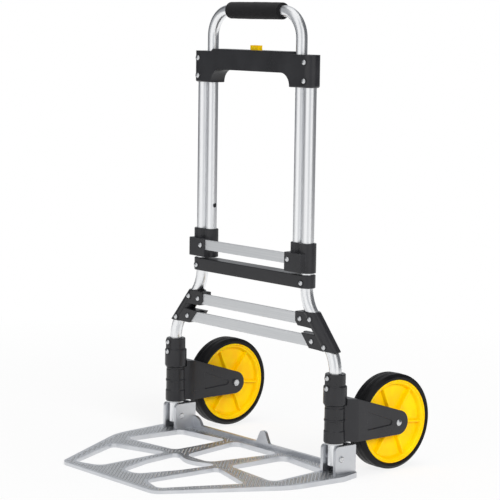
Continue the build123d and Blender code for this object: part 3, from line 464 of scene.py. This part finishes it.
# a node's own shape as a new piece, its loose triangles merged
def copyNode(nodeName, name):
    only(frame["nodes"][nodeName])
    bpy.ops.object.duplicate()
    piece = bpy.context.object
    piece.name = name
    for key in list(piece.keys()):
        del piece[key]
    piece.parent = None
    bpy.ops.object.mode_set(mode="EDIT")
    bpy.ops.mesh.select_all(action="SELECT")
    bpy.ops.mesh.remove_doubles(threshold=mergeDistance["node"])
    bpy.ops.object.mode_set(mode="OBJECT")
    return piece


# a copy of a piece with its own mesh, moved by a matrix
def copyPiece(piece, move):
    copied = piece.copy()
    copied.data = piece.data.copy()
    scene.collection.objects.link(copied)
    copied.data.transform(move)
    return copied


def joinInto(piece, others):
    only(piece)
    for other in others:
        other.select_set(True)
    bpy.ops.object.join()


# after a bevel, points that lie together become one, and faces without area go
def mergePoints():
    bpy.ops.object.mode_set(mode="EDIT")
    bpy.ops.mesh.select_mode(type="VERT")
    bpy.ops.mesh.select_all(action="SELECT")
    bpy.ops.mesh.remove_doubles(threshold=mergeDistance["node"])
    bpy.ops.mesh.dissolve_degenerate(threshold=mergeDistance["node"])
    bpy.ops.object.mode_set(mode="OBJECT")


# turned shapes: a circle about an X axis, extruded ring by ring through (along, radius) stations
# in millimetres
def turnPiece(name, centre, stations, segments):
    deselect()
    along, radius = stations[0]
    bpy.ops.mesh.primitive_circle_add(vertices=segments, radius=radius / 1000,
                                      rotation=(0, math.pi / 2, 0),
                                      location=centre + Vector((along / 1000, 0, 0)))
    piece = bpy.context.object
    piece.name = name
    bpy.ops.object.transform_apply(location=True, rotation=True, scale=True)
    bpy.ops.object.mode_set(mode="EDIT")
    bpy.ops.mesh.select_mode(type="EDGE")
    bpy.ops.mesh.select_all(action="SELECT")
    for nextAlong, nextRadius in stations[1:]:
        step = ((nextAlong - along) / 1000, 0, 0)
        wider = nextRadius / radius
        bpy.ops.mesh.extrude_edges_move(TRANSFORM_OT_translate={"value": step})
        bpy.ops.transform.resize(value=(1, wider, wider), center_override=centre)
        along, radius = nextAlong, nextRadius
    bpy.ops.mesh.select_all(action="SELECT")
    bpy.ops.mesh.remove_doubles(threshold=mergeDistance["turned"])
    bpy.ops.mesh.normals_make_consistent(inside=False)
    bpy.ops.object.mode_set(mode="OBJECT")
    return piece


# a turned section that is the same on both faces, as a closed ring of stations from its one half
def bothHalves(half):
    whole = half[::-1] + [(-along, radius) for along, radius in half[1:]]
    return [(-along, radius) for along, radius in whole] + [whole[0]]


# kept nodes: their shapes are right, so they only take the finish of their slot
keptNodes = {
    "tube_aluminium": ["leg_tube_left", "leg_tube_right", "handle_tube"],
    "steel": ["axle_bolt_left", "axle_bolt_right", "hinge_pin_left", "hinge_pin_right",
              "crank_pin_left", "crank_pin_right", "cam_pin_left", "cam_pin_right",
              "lock_pin_left", "lock_pin_right", "lock_dowel_left", "lock_dowel_right"],
    "grey_nylon": ["wheel_bush_left", "wheel_bush_right", "lift_rod_left", "lift_rod_right",
                   "cam_plate"],
}
for slotName, nodeNames in keptNodes.items():
    for nodeName in nodeNames:
        for materialSlot in frame["nodes"][nodeName].material_slots:
            materialSlot.material = finishes[slotName]
print("kept nodes finished")


# mouldings, castings and strips: a copy of the node with its edges broken as the tool or the
# tumbler leaves them, with its slot, the round's width in millimetres and its segments
brokenEdges = {
    "housing_front": ("black_plastic", 0.6, 2),
    "housing_rear": ("black_plastic", 0.6, 2),
    "lower_beam": ("black_plastic", 0.6, 2),
    "slider_left": ("black_plastic", 0.9, 3),
    "slider_right": ("black_plastic", 0.9, 3),
    "gusset_front_left": ("black_plastic", 1.0, 3),
    "gusset_front_right": ("black_plastic", 1.0, 3),
    "gusset_rear_left": ("black_plastic", 1.0, 3),
    "gusset_rear_right": ("black_plastic", 1.0, 3),
    "leg_collar_left": ("black_plastic", 0.7, 2),
    "leg_collar_right": ("black_plastic", 0.7, 2),
    "fork_left": ("black_plastic", 0.8, 3),
    "fork_right": ("black_plastic", 0.8, 3),
    "toe_plate": ("cast_aluminium", 1.2, 3),
    "slider_bar": ("bar_aluminium", 0.4, 2),
    "lower_cross_bar": ("bar_aluminium", 0.4, 2),
    "upper_cross_bar": ("bar_aluminium", 0.4, 2),
    "retaining_rings": ("steel", 0.4, 2),
    "axle_nut_left": ("steel", 0.4, 2),
    "axle_nut_right": ("steel", 0.4, 2),
}
edgeLook = {
    "crowded": ("housing_front", "housing_rear", "toe_plate"),  # edges too close for a full round
    "flat": 0.2,  # faces that meet at less than this become one
    "smooth": 40,
}


# the housing's rims: a wide round at the foot of each leg and a small one round the outer face
rimLook = {
    "foot": 3.0,
    "face": 1.4,
    "segments": 4,
    "legX": 0.135,  # place of the leg's axis, and how far out from it the rounded sides stand
    "legY": 0.0548,
    "outward": 3.0,
    "footZone": 3.0,
    "sloping": 0.5,  # shares of a normal along an axis, here and in the next line and faceOn
    "upright": 0.2,
    "faceOn": 0.99,
    "faceDepth": 0.1,
    "shortest": 1.5,  # shorter edges of the outer face stay sharp
}


def roundRims(piece, nodeName, look):
    low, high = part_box(nodeName)
    faceSign = -1 if nodeName == "housing_front" else 1
    faceY = low.y if faceSign < 0 else high.y

    def onRim(middle, normals, length):
        side = math.copysign(1, middle.x)
        leg = Vector((side * look["legX"], look["legY"], middle.z))
        atFoot = middle.z - low.z < look["footZone"] / 1000
        atFace = abs(middle.y - faceY) < look["faceDepth"] / 1000
        for one, other in (normals, normals[::-1]):
            outside = other.dot(middle - leg) > look["outward"] / 1000
            outside = outside and other.x * side > -look["sloping"]
            underside = one.z < -look["sloping"] and abs(other.z) < look["upright"]
            if atFoot and outside and underside:
                return "foot"
            if atFace and one.y * faceSign > look["faceOn"] and length > look["shortest"] / 1000:
                return "face"

    for rim in ("foot", "face"):
        facesAt = {}
        for face in piece.data.polygons:
            for key in face.edge_keys:
                facesAt.setdefault(key, []).append(face.normal.copy())
        bpy.ops.object.mode_set(mode="EDIT")
        bpy.ops.mesh.select_mode(type="EDGE")
        bpy.ops.mesh.select_all(action="DESELECT")
        bpy.ops.object.mode_set(mode="OBJECT")
        points = piece.data.vertices
        for edge in piece.data.edges:
            start, end = (points[index].co for index in edge.vertices)
            normals = facesAt[edge.key]
            edge.select = (len(normals) == 2
                           and normals[0].angle(normals[1]) > math.radians(creaseAngle)
                           and onRim((start + end) / 2, normals, (end - start).length) == rim)
        bpy.ops.object.mode_set(mode="EDIT")
        bpy.ops.mesh.bevel(offset=look[rim] / 1000, segments=look["segments"], affect="EDGES",
                           clamp_overlap=rim == "face")
        bpy.ops.object.mode_set(mode="OBJECT")
    mergePoints()


def breakEdges(nodeName, slotName, width, segments):
    piece = copyNode(nodeName, nodeName + "_finished")
    bpy.ops.object.mode_set(mode="EDIT")
    bpy.ops.mesh.select_all(action="SELECT")
    bpy.ops.mesh.dissolve_limited(angle_limit=math.radians(edgeLook["flat"]))
    bpy.ops.object.mode_set(mode="OBJECT")
    if nodeName.startswith("housing"):
        roundRims(piece, nodeName, rimLook)
    applyModifier(piece, "BEVEL", {"width": width / 1000, "segments": segments,
                                   "limit_method": "ANGLE",
                                   "angle_limit": math.radians(creaseAngle),
                                   "miter_outer": "MITER_ARC",
                                   "use_clamp_overlap": nodeName in edgeLook["crowded"]})
    mergePoints()
    finishPiece(piece, [nodeName], slotName, edgeLook["smooth"])
    applyModifier(piece, "WEIGHTED_NORMAL", weightedNormals)
    return piece


finished = {}
for nodeName, (slotName, width, segments) in brokenEdges.items():
    finished[nodeName] = breakEdges(nodeName, slotName, width, segments)
print("edges broken on", len(finished), "pieces")


# rivet seats: a low moulded ring round each rivet's head, on the piece that the head bears on
seatLook = {
    "segments": 32,
    "smooth": 40,
    "ring": [
        (2.5, 2.2), (2.5, 6.4), (-0.3, 6.4), (-0.6, 6.1), (-0.6, 5.6), (-0.35, 5.2), (0.02, 5.1),
        (0.02, 2.2),
    ],
    "headRadius": 4.2,
    "headHeight": 2.0,
    "sameRivet": 2.2,  # head radii within which points belong to one rivet
    "hosts": {
        "housing_rivets": ("housing_front", "housing_front"),
        "beam_rivets": ("lower_beam", "lower_beam"),
        "gusset_rivets": ("gusset_front_left", "gusset_front_right"),
        "collar_rivets": ("leg_collar_left", "leg_collar_right"),
        "slider_rivets": ("slider_left", "slider_right"),
    },
}


# the plane under each rivet's head, on its axis, and the y of its tail's end, from the boxes
# round the points of a node's rivets
def rivetSpots(nodeName, look):
    near = look["sameRivet"] * look["headRadius"] / 1000
    boxes = []
    for point in frame["nodes"][nodeName].data.vertices:
        place = point.co
        for low, high in boxes:
            if math.hypot(place.x - (low.x + high.x) / 2, place.z - (low.z + high.z) / 2) < near:
                for axis in range(3):
                    low[axis] = min(low[axis], place[axis])
                    high[axis] = max(high[axis], place[axis])
                break
        else:
            boxes.append((place.copy(), place.copy()))
    spots = []
    for low, high in boxes:
        middle = (low + high) / 2
        spots.append(((middle.x, low.y + look["headHeight"] / 1000, middle.z), high.y))
    return spots


def makeSeats(look):
    ring = turnPiece("rivet_seat", Vector((0, 0, 0)), look["ring"] + look["ring"][:1],
                     look["segments"])
    ring.data.transform(Matrix.Rotation(math.pi / 2, 4, "Z"))
    only(ring)
    bpy.ops.object.shade_smooth_by_angle(angle=math.radians(look["smooth"]))
    count = 0
    for nodeName, (leftHost, rightHost) in look["hosts"].items():
        for under, tailEnd in rivetSpots(nodeName, look):
            seat = copyPiece(ring, Matrix.Translation(under))
            host = finished[rightHost if under[0] > 0 else leftHost]
            seat.data.materials.append(host.data.materials[0])
            joinInto(host, [seat])
            count += 1
    bpy.data.objects.remove(ring)
    return count


print("rivet seats made:", makeSeats(seatLook))


# rivets: a full dome over its seat, a shank through the tube, and the tail set flat at the back
rivetLook = {
    "head": 4.8,
    "dome": 2.7,
    "shank": 2.0,
    "tail": 3.5,
    "tailHeight": 1.2,
    "tailChamfer": 0.3,
    "pole": 0.25,
    "steps": 7,
    "segments": 28,
    "smooth": 40,
}


def makeRivets(nodeName, look):
    spots = rivetSpots(nodeName, seatLook)
    places = [Matrix.Translation(under) for under, tailEnd in spots]
    under, tailEnd = spots[0]
    end = (tailEnd - under[1]) * 1000
    tailStart = end - look["tailHeight"]
    tail, chamfer = look["tail"], look["tailChamfer"]
    quarter = math.acos(look["pole"] / look["head"])
    turns = [quarter * (1 - step / look["steps"]) for step in range(look["steps"] + 1)]
    profile = [(-look["dome"] * math.sin(a), look["head"] * math.cos(a)) for a in turns]
    profile += [(0.0, look["shank"]), (tailStart, look["shank"]), (tailStart, tail),
                (end - chamfer, tail), (end, tail - chamfer), (end, look["pole"])]
    first = turnPiece(nodeName + "_set", Vector((0, 0, 0)), profile, look["segments"])
    bpy.ops.object.mode_set(mode="EDIT")
    bpy.ops.mesh.select_all(action="SELECT")
    bpy.ops.mesh.fill_holes(sides=0)
    bpy.ops.mesh.normals_make_consistent(inside=False)
    bpy.ops.object.mode_set(mode="OBJECT")
    first.data.transform(Matrix.Rotation(math.pi / 2, 4, "Z"))
    copies = [copyPiece(first, place) for place in places[1:]]
    first.data.transform(places[0])
    joinInto(first, copies)
    finishPiece(first, [nodeName], "steel", look["smooth"])
    return len(spots)


rivetCounts = [makeRivets(nodeName, rivetLook) for nodeName in seatLook["hosts"]]
print("rivets made:", sum(rivetCounts))


# grip: a foam sleeve, pushed on, a little fuller in the middle and uneven where hands squeezed it
gripLook = {
    "radius": 15.5,
    "bore": 10.1,
    "skin": 0.5,
    "longer": 2.5,
    "endRound": 2.8,
    "endSteps": 6,
    "rings": 36,
    "segments": 72,
    "fuller": 0.3,
    "dent": 0.6,
    "dentWidth": 18.0,
    "dentZone": 4.0,
    "smooth": 50,
}


def makeGrip(look):
    low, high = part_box("grip")
    middle = (low + high) / 2
    half = (high.x - low.x) * 500 + look["longer"]  # half its length, in millimetres
    outer, turn = look["radius"], look["endRound"]
    angles = [math.radians(90 / look["endSteps"] * (i + 1)) for i in range(look["endSteps"])]
    corner = [(half - turn + turn * math.sin(a), outer - turn + turn * math.cos(a)) for a in angles]
    length = 2 * half - 2 * turn
    side = [(half - turn - i * length / look["rings"], outer) for i in range(look["rings"] + 1)]
    stations = [(half, look["bore"])] + corner[::-1] + side
    stations += [(-along, radius) for along, radius in corner]
    stations += [(-half, look["bore"]), (half, look["bore"])]
    piece = turnPiece("grip_foam", middle, stations, look["segments"])

    def fromAxis(point):
        return Vector((0, point.co.y - middle.y, point.co.z - middle.z))

    for point in piece.data.vertices:
        out = fromAxis(point)
        if out.length > look["bore"] / 1000 + look["skin"] / 1000:
            share = 1 - abs(point.co.x - middle.x) / (half / 1000)
            point.co += out.normalized() * (share - 1) * look["fuller"] / 1000
    pressed = bpy.data.textures.new("pressedFoam", "CLOUDS")
    pressed.noise_scale = look["dentWidth"] / 1000
    inner = look["radius"] / 1000 - look["dentZone"] / 1000
    outside = [point.index for point in piece.data.vertices if fromAxis(point).length > inner]
    piece.vertex_groups.new(name="outside").add(outside, 1.0, "REPLACE")
    applyModifier(piece, "DISPLACE", {"texture": pressed, "strength": look["dent"] / 1000,
                                      "mid_level": 1.0, "texture_coords": "LOCAL",
                                      "vertex_group": "outside"})
    finishPiece(piece, ["grip"], "foam", look["smooth"])


makeGrip(gripLook)
print("grip made")


# release button: a square-cornered cap with a thumb hollow, on the flange that keeps it in the
# housing
buttonLook = {
    "width": 21.0,
    "depth": 10.5,
    "flange": 3.5,
    "corner": 1.1,
    "segments": 3,
    "hollowIn": 1.6,
    "hollow": 0.5,
    "topZone": 0.1,
    "smooth": 40,
}


def makeButton(look):
    low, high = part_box("release_button")
    middle = (low + high) / 2
    size = high - low
    flange = look["flange"] / 1000
    deselect()
    bpy.ops.mesh.primitive_cube_add(size=1.0, location=(middle.x, middle.y, low.z + flange / 2))
    piece = bpy.context.object
    piece.name = "button_cap"
    piece.scale = (size.x, size.y, flange)
    bpy.ops.object.transform_apply(location=True, rotation=True, scale=True)
    pickFaces(piece, lambda place, normal: normal.z > squareOn)
    bpy.ops.mesh.extrude_region_move()
    narrower = (look["width"] / 1000 / size.x, look["depth"] / 1000 / size.y, 1)
    bpy.ops.transform.resize(value=narrower, center_override=middle)
    bpy.ops.mesh.extrude_region_move(TRANSFORM_OT_translate={"value": (0, 0, size.z - flange)})
    bpy.ops.object.mode_set(mode="OBJECT")
    applyModifier(piece, "BEVEL", {"width": look["corner"] / 1000, "segments": look["segments"],
                                   "limit_method": "ANGLE",
                                   "angle_limit": math.radians(creaseAngle)})
    topFrom = high.z - look["topZone"] / 1000
    pickFaces(piece, lambda place, normal: normal.z > squareOn and place.z > topFrom)
    bpy.ops.mesh.inset(thickness=look["hollowIn"] / 1000, depth=-look["hollow"] / 1000)
    bpy.ops.object.mode_set(mode="OBJECT")
    finishPiece(piece, ["release_button"], "yellow_plastic", look["smooth"])
    applyModifier(piece, "WEIGHTED_NORMAL", weightedNormals)


makeButton(buttonLook)
print("release button made")


# button spring: a copy of the node's coil, its points merged, with its own mesh
springLook = {"stroke": 5.0, "smooth": 50}


def makeSpring(look):
    piece = copyNode("button_spring", "spring_coil")
    finishPiece(piece, ["button_spring"], "steel", look["smooth"])
    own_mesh(piece)


makeSpring(springLook)
print("button spring made")


# tyre: flat tread with two rain grooves and a mould line, round shoulders, and a raised ring on
# each wall
tyreLook = {
    "segments": 144,
    "smooth": 32,
    "half": [
        (0.0, 85.0), (0.35, 84.8), (4.6, 84.8), (4.9, 84.0), (6.0, 84.0), (6.3, 84.7), (9.5, 84.6),
        (11.5, 84.3), (13.0, 83.8), (13.3, 84.5), (14.2, 84.2), (14.6, 82.9), (15.4, 82.2),
        (16.8, 81.0), (17.8, 79.6), (18.1, 79.2), (18.9, 79.0), (18.9, 78.0), (18.5, 77.6),
        (18.5, 76.4), (18.0, 75.0), (16.6, 74.1), (4.1, 74.1), (4.1, 77.1), (0.0, 77.1),
    ],
}


def makeTyre(side, look):
    low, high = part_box("tyre_" + side)
    piece = turnPiece("tyre_rubber_" + side, (low + high) / 2, bothHalves(look["half"]),
                      look["segments"])
    finishPiece(piece, ["tyre_" + side], "tyre_rubber", look["smooth"])


for side in ("left", "right"):
    makeTyre(side, tyreLook)
print("tyres made")


# wheel disc: dished web between a boss and a stepped rim, with tapering ribs on both faces
discLook = {
    "segments": 144,
    "smooth": 30,
    "half": [
        (0.0, 77.0), (4.0, 77.0), (4.0, 74.0), (16.0, 74.0), (16.5, 73.5), (16.5, 71.6),
        (16.0, 71.0), (14.6, 70.4), (13.9, 69.2), (13.6, 67.6), (12.9, 66.8), (6.6, 64.6),
        (5.6, 63.4), (5.4, 59.0), (5.4, 24.0), (8.4, 21.0), (10.6, 18.8), (20.4, 17.0),
        (21.6, 16.0), (22.0, 15.0), (22.0, 7.1), (0.0, 7.1),
    ],
    "ribs": 6,
    "ribTurn": 23.0,
    "ribStart": 16.0,
    "ribEnd": 66.0,
    "ribHalf": 13.2,
    "ribFoot": 6.0,
    "ribTop": 3.4,
    "ribRound": 0.8,
    "ribSegments": 2,
}


def makeDisc(side, look):
    low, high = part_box("wheel_hub_" + side)
    centre = (low + high) / 2
    piece = turnPiece("wheel_disc_" + side, centre, bothHalves(look["half"]), look["segments"])
    reach = (look["ribStart"] + look["ribEnd"]) / 2000
    length = (look["ribEnd"] - look["ribStart"]) / 1000
    ribs = []
    for face in (-1, 1):
        deselect()
        place = centre + Vector((face * look["ribHalf"] / 2000, 0, reach))
        bpy.ops.mesh.primitive_cube_add(size=1.0, location=place)
        rib = bpy.context.object
        rib.scale = (look["ribHalf"] / 1000, look["ribFoot"] / 1000, length)
        bpy.ops.object.transform_apply(location=True, rotation=True, scale=True)
        pickFaces(rib, lambda place, normal: normal.x * face > squareOn)
        bpy.ops.transform.resize(value=(1, look["ribTop"] / look["ribFoot"], 1),
                                 center_override=centre)
        bpy.ops.mesh.bevel(offset=look["ribRound"] / 1000, segments=look["ribSegments"],
                           affect="EDGES")
        bpy.ops.object.mode_set(mode="OBJECT")
        for step in range(look["ribs"]):
            angle = math.radians(look["ribTurn"] + 360 * step / look["ribs"])
            turn = Matrix.Rotation(angle, 4, "X")
            ribs.append(copyPiece(rib, Matrix.Translation(centre) @ turn
                                  @ Matrix.Translation(-centre)))
        bpy.data.objects.remove(rib)
    joinInto(piece, ribs)
    finishPiece(piece, ["wheel_hub_" + side], "yellow_plastic", look["smooth"])


for side in ("left", "right"):
    makeDisc(side, discLook)
print("wheel discs made")


# knurl: raised diamonds over the plate's sloping top, cut back from its edges and drawn coarser
# than the real ones, so that they show
knurlLook = {
    "pitch": 6.0,
    "height": 1.1,
    "valley": 0.9,
    # dark and bright: painted shade in the valleys and a painted highlight on the diamonds' tips
    "dark": "46484C",
    "bright": "FAFBFC",
    "brightFrom": 0.8,
    "roughness": 0.3,
    "margin": 3.0,
    "feelers": 8,
    "feelerTop": 30.0,
    "level": 0.2,
    "sink": 0.05,
    "hingeY": 0.0548,
    "hingeTop": 9.0,
    "tipTop": 5.5,
    "reach": 322.0,
}


# the same casting with painted shade in the valleys between the diamonds and a painted highlight on
# their tips, read from each point's relief
def makeKnurlPaintedShade(look):
    material, tree, shader = newMaterial(
        "knurlPaintedShade", {"Metallic": 1.0, "Roughness": look["roughness"]})[:3]
    relief = addNode(tree, "ShaderNodeAttribute", {"attribute_name": "relief"})
    tone = addNode(tree, "ShaderNodeValToRGB",
                   {"ramp": [(0.0, look["dark"]), (look["brightFrom"], look["bright"])]},
                   {"Fac": relief.outputs["Fac"]})
    tree.links.new(tone.outputs["Color"], shader.inputs["Base Color"])
    return material


def makeKnurl(look):
    plate = finished["toe_plate"]
    low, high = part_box("toe_plate")
    pitch = look["pitch"] / 1000
    cells = int((high - low).length / pitch)
    deselect()
    bpy.ops.mesh.primitive_grid_add(x_subdivisions=cells, y_subdivisions=cells, size=cells * pitch,
                                    location=((low.x + high.x) / 2, (low.y + high.y) / 2, 0))
    piece = bpy.context.object
    piece.name = "plate_knurl"
    piece.rotation_euler = (0, 0, math.pi / 4)
    bpy.ops.object.transform_apply(location=True, rotation=True, scale=True)
    down = Vector((0, 0, -1))
    reach = pitch * math.sqrt(0.5) + look["margin"] / 1000
    above = look["feelerTop"] / 1000
    angles = [2 * math.pi * i / look["feelers"] for i in range(look["feelers"])]
    feelers = [Vector((reach * math.cos(a), reach * math.sin(a), above)) for a in angles]
    feelers.append(Vector((0, 0, above)))

    def topAt(y):
        ahead = max(0.0, look["hingeY"] - y) * 1000 / look["reach"]
        return (look["hingeTop"] - ahead * (look["hingeTop"] - look["tipTop"])) / 1000

    def offThePlate(place, normal):
        if not (low.x < place.x < high.x and low.y < place.y < high.y):
            return True
        for feeler in feelers:
            hit, spot = plate.ray_cast(place + feeler, down)[:2]
            if not hit or abs(spot.z - topAt(spot.y)) > look["level"] / 1000:
                return True
        return False

    pickFaces(piece, offThePlate)
    bpy.ops.mesh.delete(type="FACE")
    bpy.ops.object.mode_set(mode="OBJECT")
    for point in piece.data.vertices:
        point.co.z = topAt(point.co.y) - look["sink"] / 1000
    bpy.ops.object.mode_set(mode="EDIT")
    bpy.ops.mesh.select_all(action="SELECT")
    bpy.ops.mesh.inset(thickness=look["valley"] / 1000, use_individual=True)
    bpy.ops.mesh.poke(offset=look["height"] / 1000)
    bpy.ops.object.mode_set(mode="OBJECT")
    relief = piece.data.attributes.new("relief", "FLOAT", "POINT")
    for point in piece.data.vertices:
        raised = point.co.z - topAt(point.co.y) + look["sink"] / 1000
        relief.data[point.index].value = raised * 1000 / look["height"]
    piece.data.materials.append(makeKnurlPaintedShade(look))
    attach(piece, "toe_plate")
    return piece


knurl = makeKnurl(knurlLook)
print("knurl made:", len(knurl.data.polygons), "faces")


# floor, grey cards and light, all in metres; a card's arc is in degrees from +X
studioLook = {
    "floor": {"size": 40.0, "drop": 0.0005, "paper": "FAFAFA", "roughness": 0.9,
              "white": (0.82, 1.0), "whiteFrom": (0.5, 1.6)},
    "ambient": 0.38,
    "card": {"radius": 3.2, "height": 1.7, "lean": 0.45, "leanHeight": 1.3, "segments": 72},
    "arcs": {
        "side": {"start": 15.0, "sweep": 40.0, "tone": "606265"},
        "rightBack": {"start": 55.0, "sweep": 60.0, "tone": "707275"},
        "back": {"start": 115.0, "sweep": 50.0, "tone": "CCCED1"},
        "leftBack": {"start": 165.0, "sweep": 38.0, "tone": "585A5D"},
        "left": {"start": 203.0, "sweep": 42.0, "tone": "A4A6A9"},
        "front": {"start": 304.0, "sweep": 32.0, "tone": "C4C6C9"},
    },
    "lampTarget": (0, 0, 0.4),
    "lamps": {
        "key": {"place": (0.75, -3.9, 1.4), "size": 2.9, "watts": 26},
        "fill": {"place": (9.0, -2.2, 5.2), "size": 5.9, "watts": 765},
        "top": {"place": (0.2, 0.6, 3.4), "size": 2.0, "watts": 30},
    },
}


# 1 for the rays that see a surface as it is, the camera's and the mirrors', and 0 for the rest, so
# that metal reflects the same white room as the camera sees
def seenDirectly(tree, kinds):
    path = addNode(tree, "ShaderNodeLightPath")
    seen = path.outputs[kinds[0]]
    for kind in kinds[1:]:
        either = addNode(tree, "ShaderNodeMath", {"operation": "MAXIMUM"})
        tree.links.new(seen, either.inputs[0])
        tree.links.new(path.outputs[kind], either.inputs[1])
        seen = either.outputs["Value"]
    return seen


def makeRoom(ambient):
    world = bpy.data.worlds.new("whiteRoom")
    scene.world = world
    world.use_nodes = True
    tree = world.node_tree
    seen = seenDirectly(tree, ("Is Camera Ray", "Is Glossy Ray", "Is Transmission Ray"))
    strength = addNode(tree, "ShaderNodeMapRange", {"To Min": ambient, "To Max": 1.0},
                       {"Value": seen})
    background = tree.nodes["Background"]
    background.inputs["Color"].default_value = (1, 1, 1, 1)
    tree.links.new(strength.outputs["Result"], background.inputs["Strength"])


# paper that keeps the soft shadow near the truck and turns to plain white away from it
def makeFloor(look):
    deselect()
    bpy.ops.mesh.primitive_plane_add(size=look["size"], location=(0, 0, -look["drop"]))
    floor = bpy.context.object
    floor.name = "floor"
    paper, tree, shader, place = newMaterial(
        "whitePaper", {"Roughness": look["roughness"], "Base Color": hexColour(look["paper"])})
    bright = addNode(tree, "ShaderNodeEmission", {"Color": (1, 1, 1, 1), "Strength": 1.0})
    away = addNode(tree, "ShaderNodeVectorMath", {"operation": "LENGTH"}, {"Vector": place})
    white = addNode(tree, "ShaderNodeMapRange",
                    {"From Min": look["whiteFrom"][0], "From Max": look["whiteFrom"][1],
                     "To Min": look["white"][0], "To Max": look["white"][1]},
                    {"Value": away.outputs["Value"]})
    share = addNode(tree, "ShaderNodeMath", {"operation": "MULTIPLY"})
    tree.links.new(seenDirectly(tree, ("Is Camera Ray", "Is Glossy Ray")), share.inputs[0])
    tree.links.new(white.outputs["Result"], share.inputs[1])
    blend = addNode(tree, "ShaderNodeMixShader", {}, {"Fac": share.outputs["Value"]})
    tree.links.new(shader.outputs["BSDF"], blend.inputs[1])
    tree.links.new(bright.outputs["Emission"], blend.inputs[2])
    tree.links.new(blend.outputs["Shader"], tree.nodes["Material Output"].inputs["Surface"])
    floor.data.materials.append(paper)


# grey cards in a ring round the truck, which only mirrors see: they give bright metal its grey
# edges
def makeCard(name, look, arc):
    deselect()
    bpy.ops.mesh.primitive_circle_add(vertices=look["segments"], radius=look["radius"])
    card = bpy.context.object
    card.name = name + "Card"
    bpy.ops.object.mode_set(mode="EDIT")
    bpy.ops.mesh.select_mode(type="EDGE")
    bpy.ops.mesh.select_all(action="SELECT")
    for rise in (look["height"], look["leanHeight"]):
        bpy.ops.mesh.extrude_edges_move(TRANSFORM_OT_translate={"value": (0, 0, rise)})
    bpy.ops.transform.resize(value=(look["lean"], look["lean"], 1), center_override=(0, 0, 0))

    def offTheArc(place, normal):
        angle = math.degrees(math.atan2(place.y, place.x))
        return (angle - arc["start"]) % 360 > arc["sweep"]

    pickFaces(card, offTheArc)
    bpy.ops.mesh.delete(type="FACE")
    bpy.ops.object.mode_set(mode="OBJECT")
    felt = newMaterial(name + "Felt", {
        "Base Color": (0, 0, 0, 1),
        "Specular IOR Level": 0.0,
        "Emission Color": hexColour(arc["tone"]),
        "Emission Strength": 1.0,
    })[0]
    card.data.materials.append(felt)
    card.visible_camera = False
    card.visible_diffuse = False
    card.visible_shadow = False


# soft lamps that don't show in the metal, which mirrors the room and the cards instead
def makeLamps(look, target):
    for name, lampLook in look.items():
        bpy.ops.object.light_add(type="AREA", location=lampLook["place"])
        lamp = bpy.context.object
        lamp.name = name + "Light"
        lamp.data.shape = "DISK"
        lamp.data.size = lampLook["size"]
        lamp.data.energy = lampLook["watts"]
        lamp.visible_glossy = False
        lamp.rotation_euler = (target - lamp.location).to_track_quat("-Z", "Y").to_euler()


makeRoom(studioLook["ambient"])
makeFloor(studioLook["floor"])
for cardName, arc in studioLook["arcs"].items():
    makeCard(cardName, studioLook["card"], arc)
makeLamps(studioLook["lamps"], Vector(studioLook["lampTarget"]))
print("studio lit")
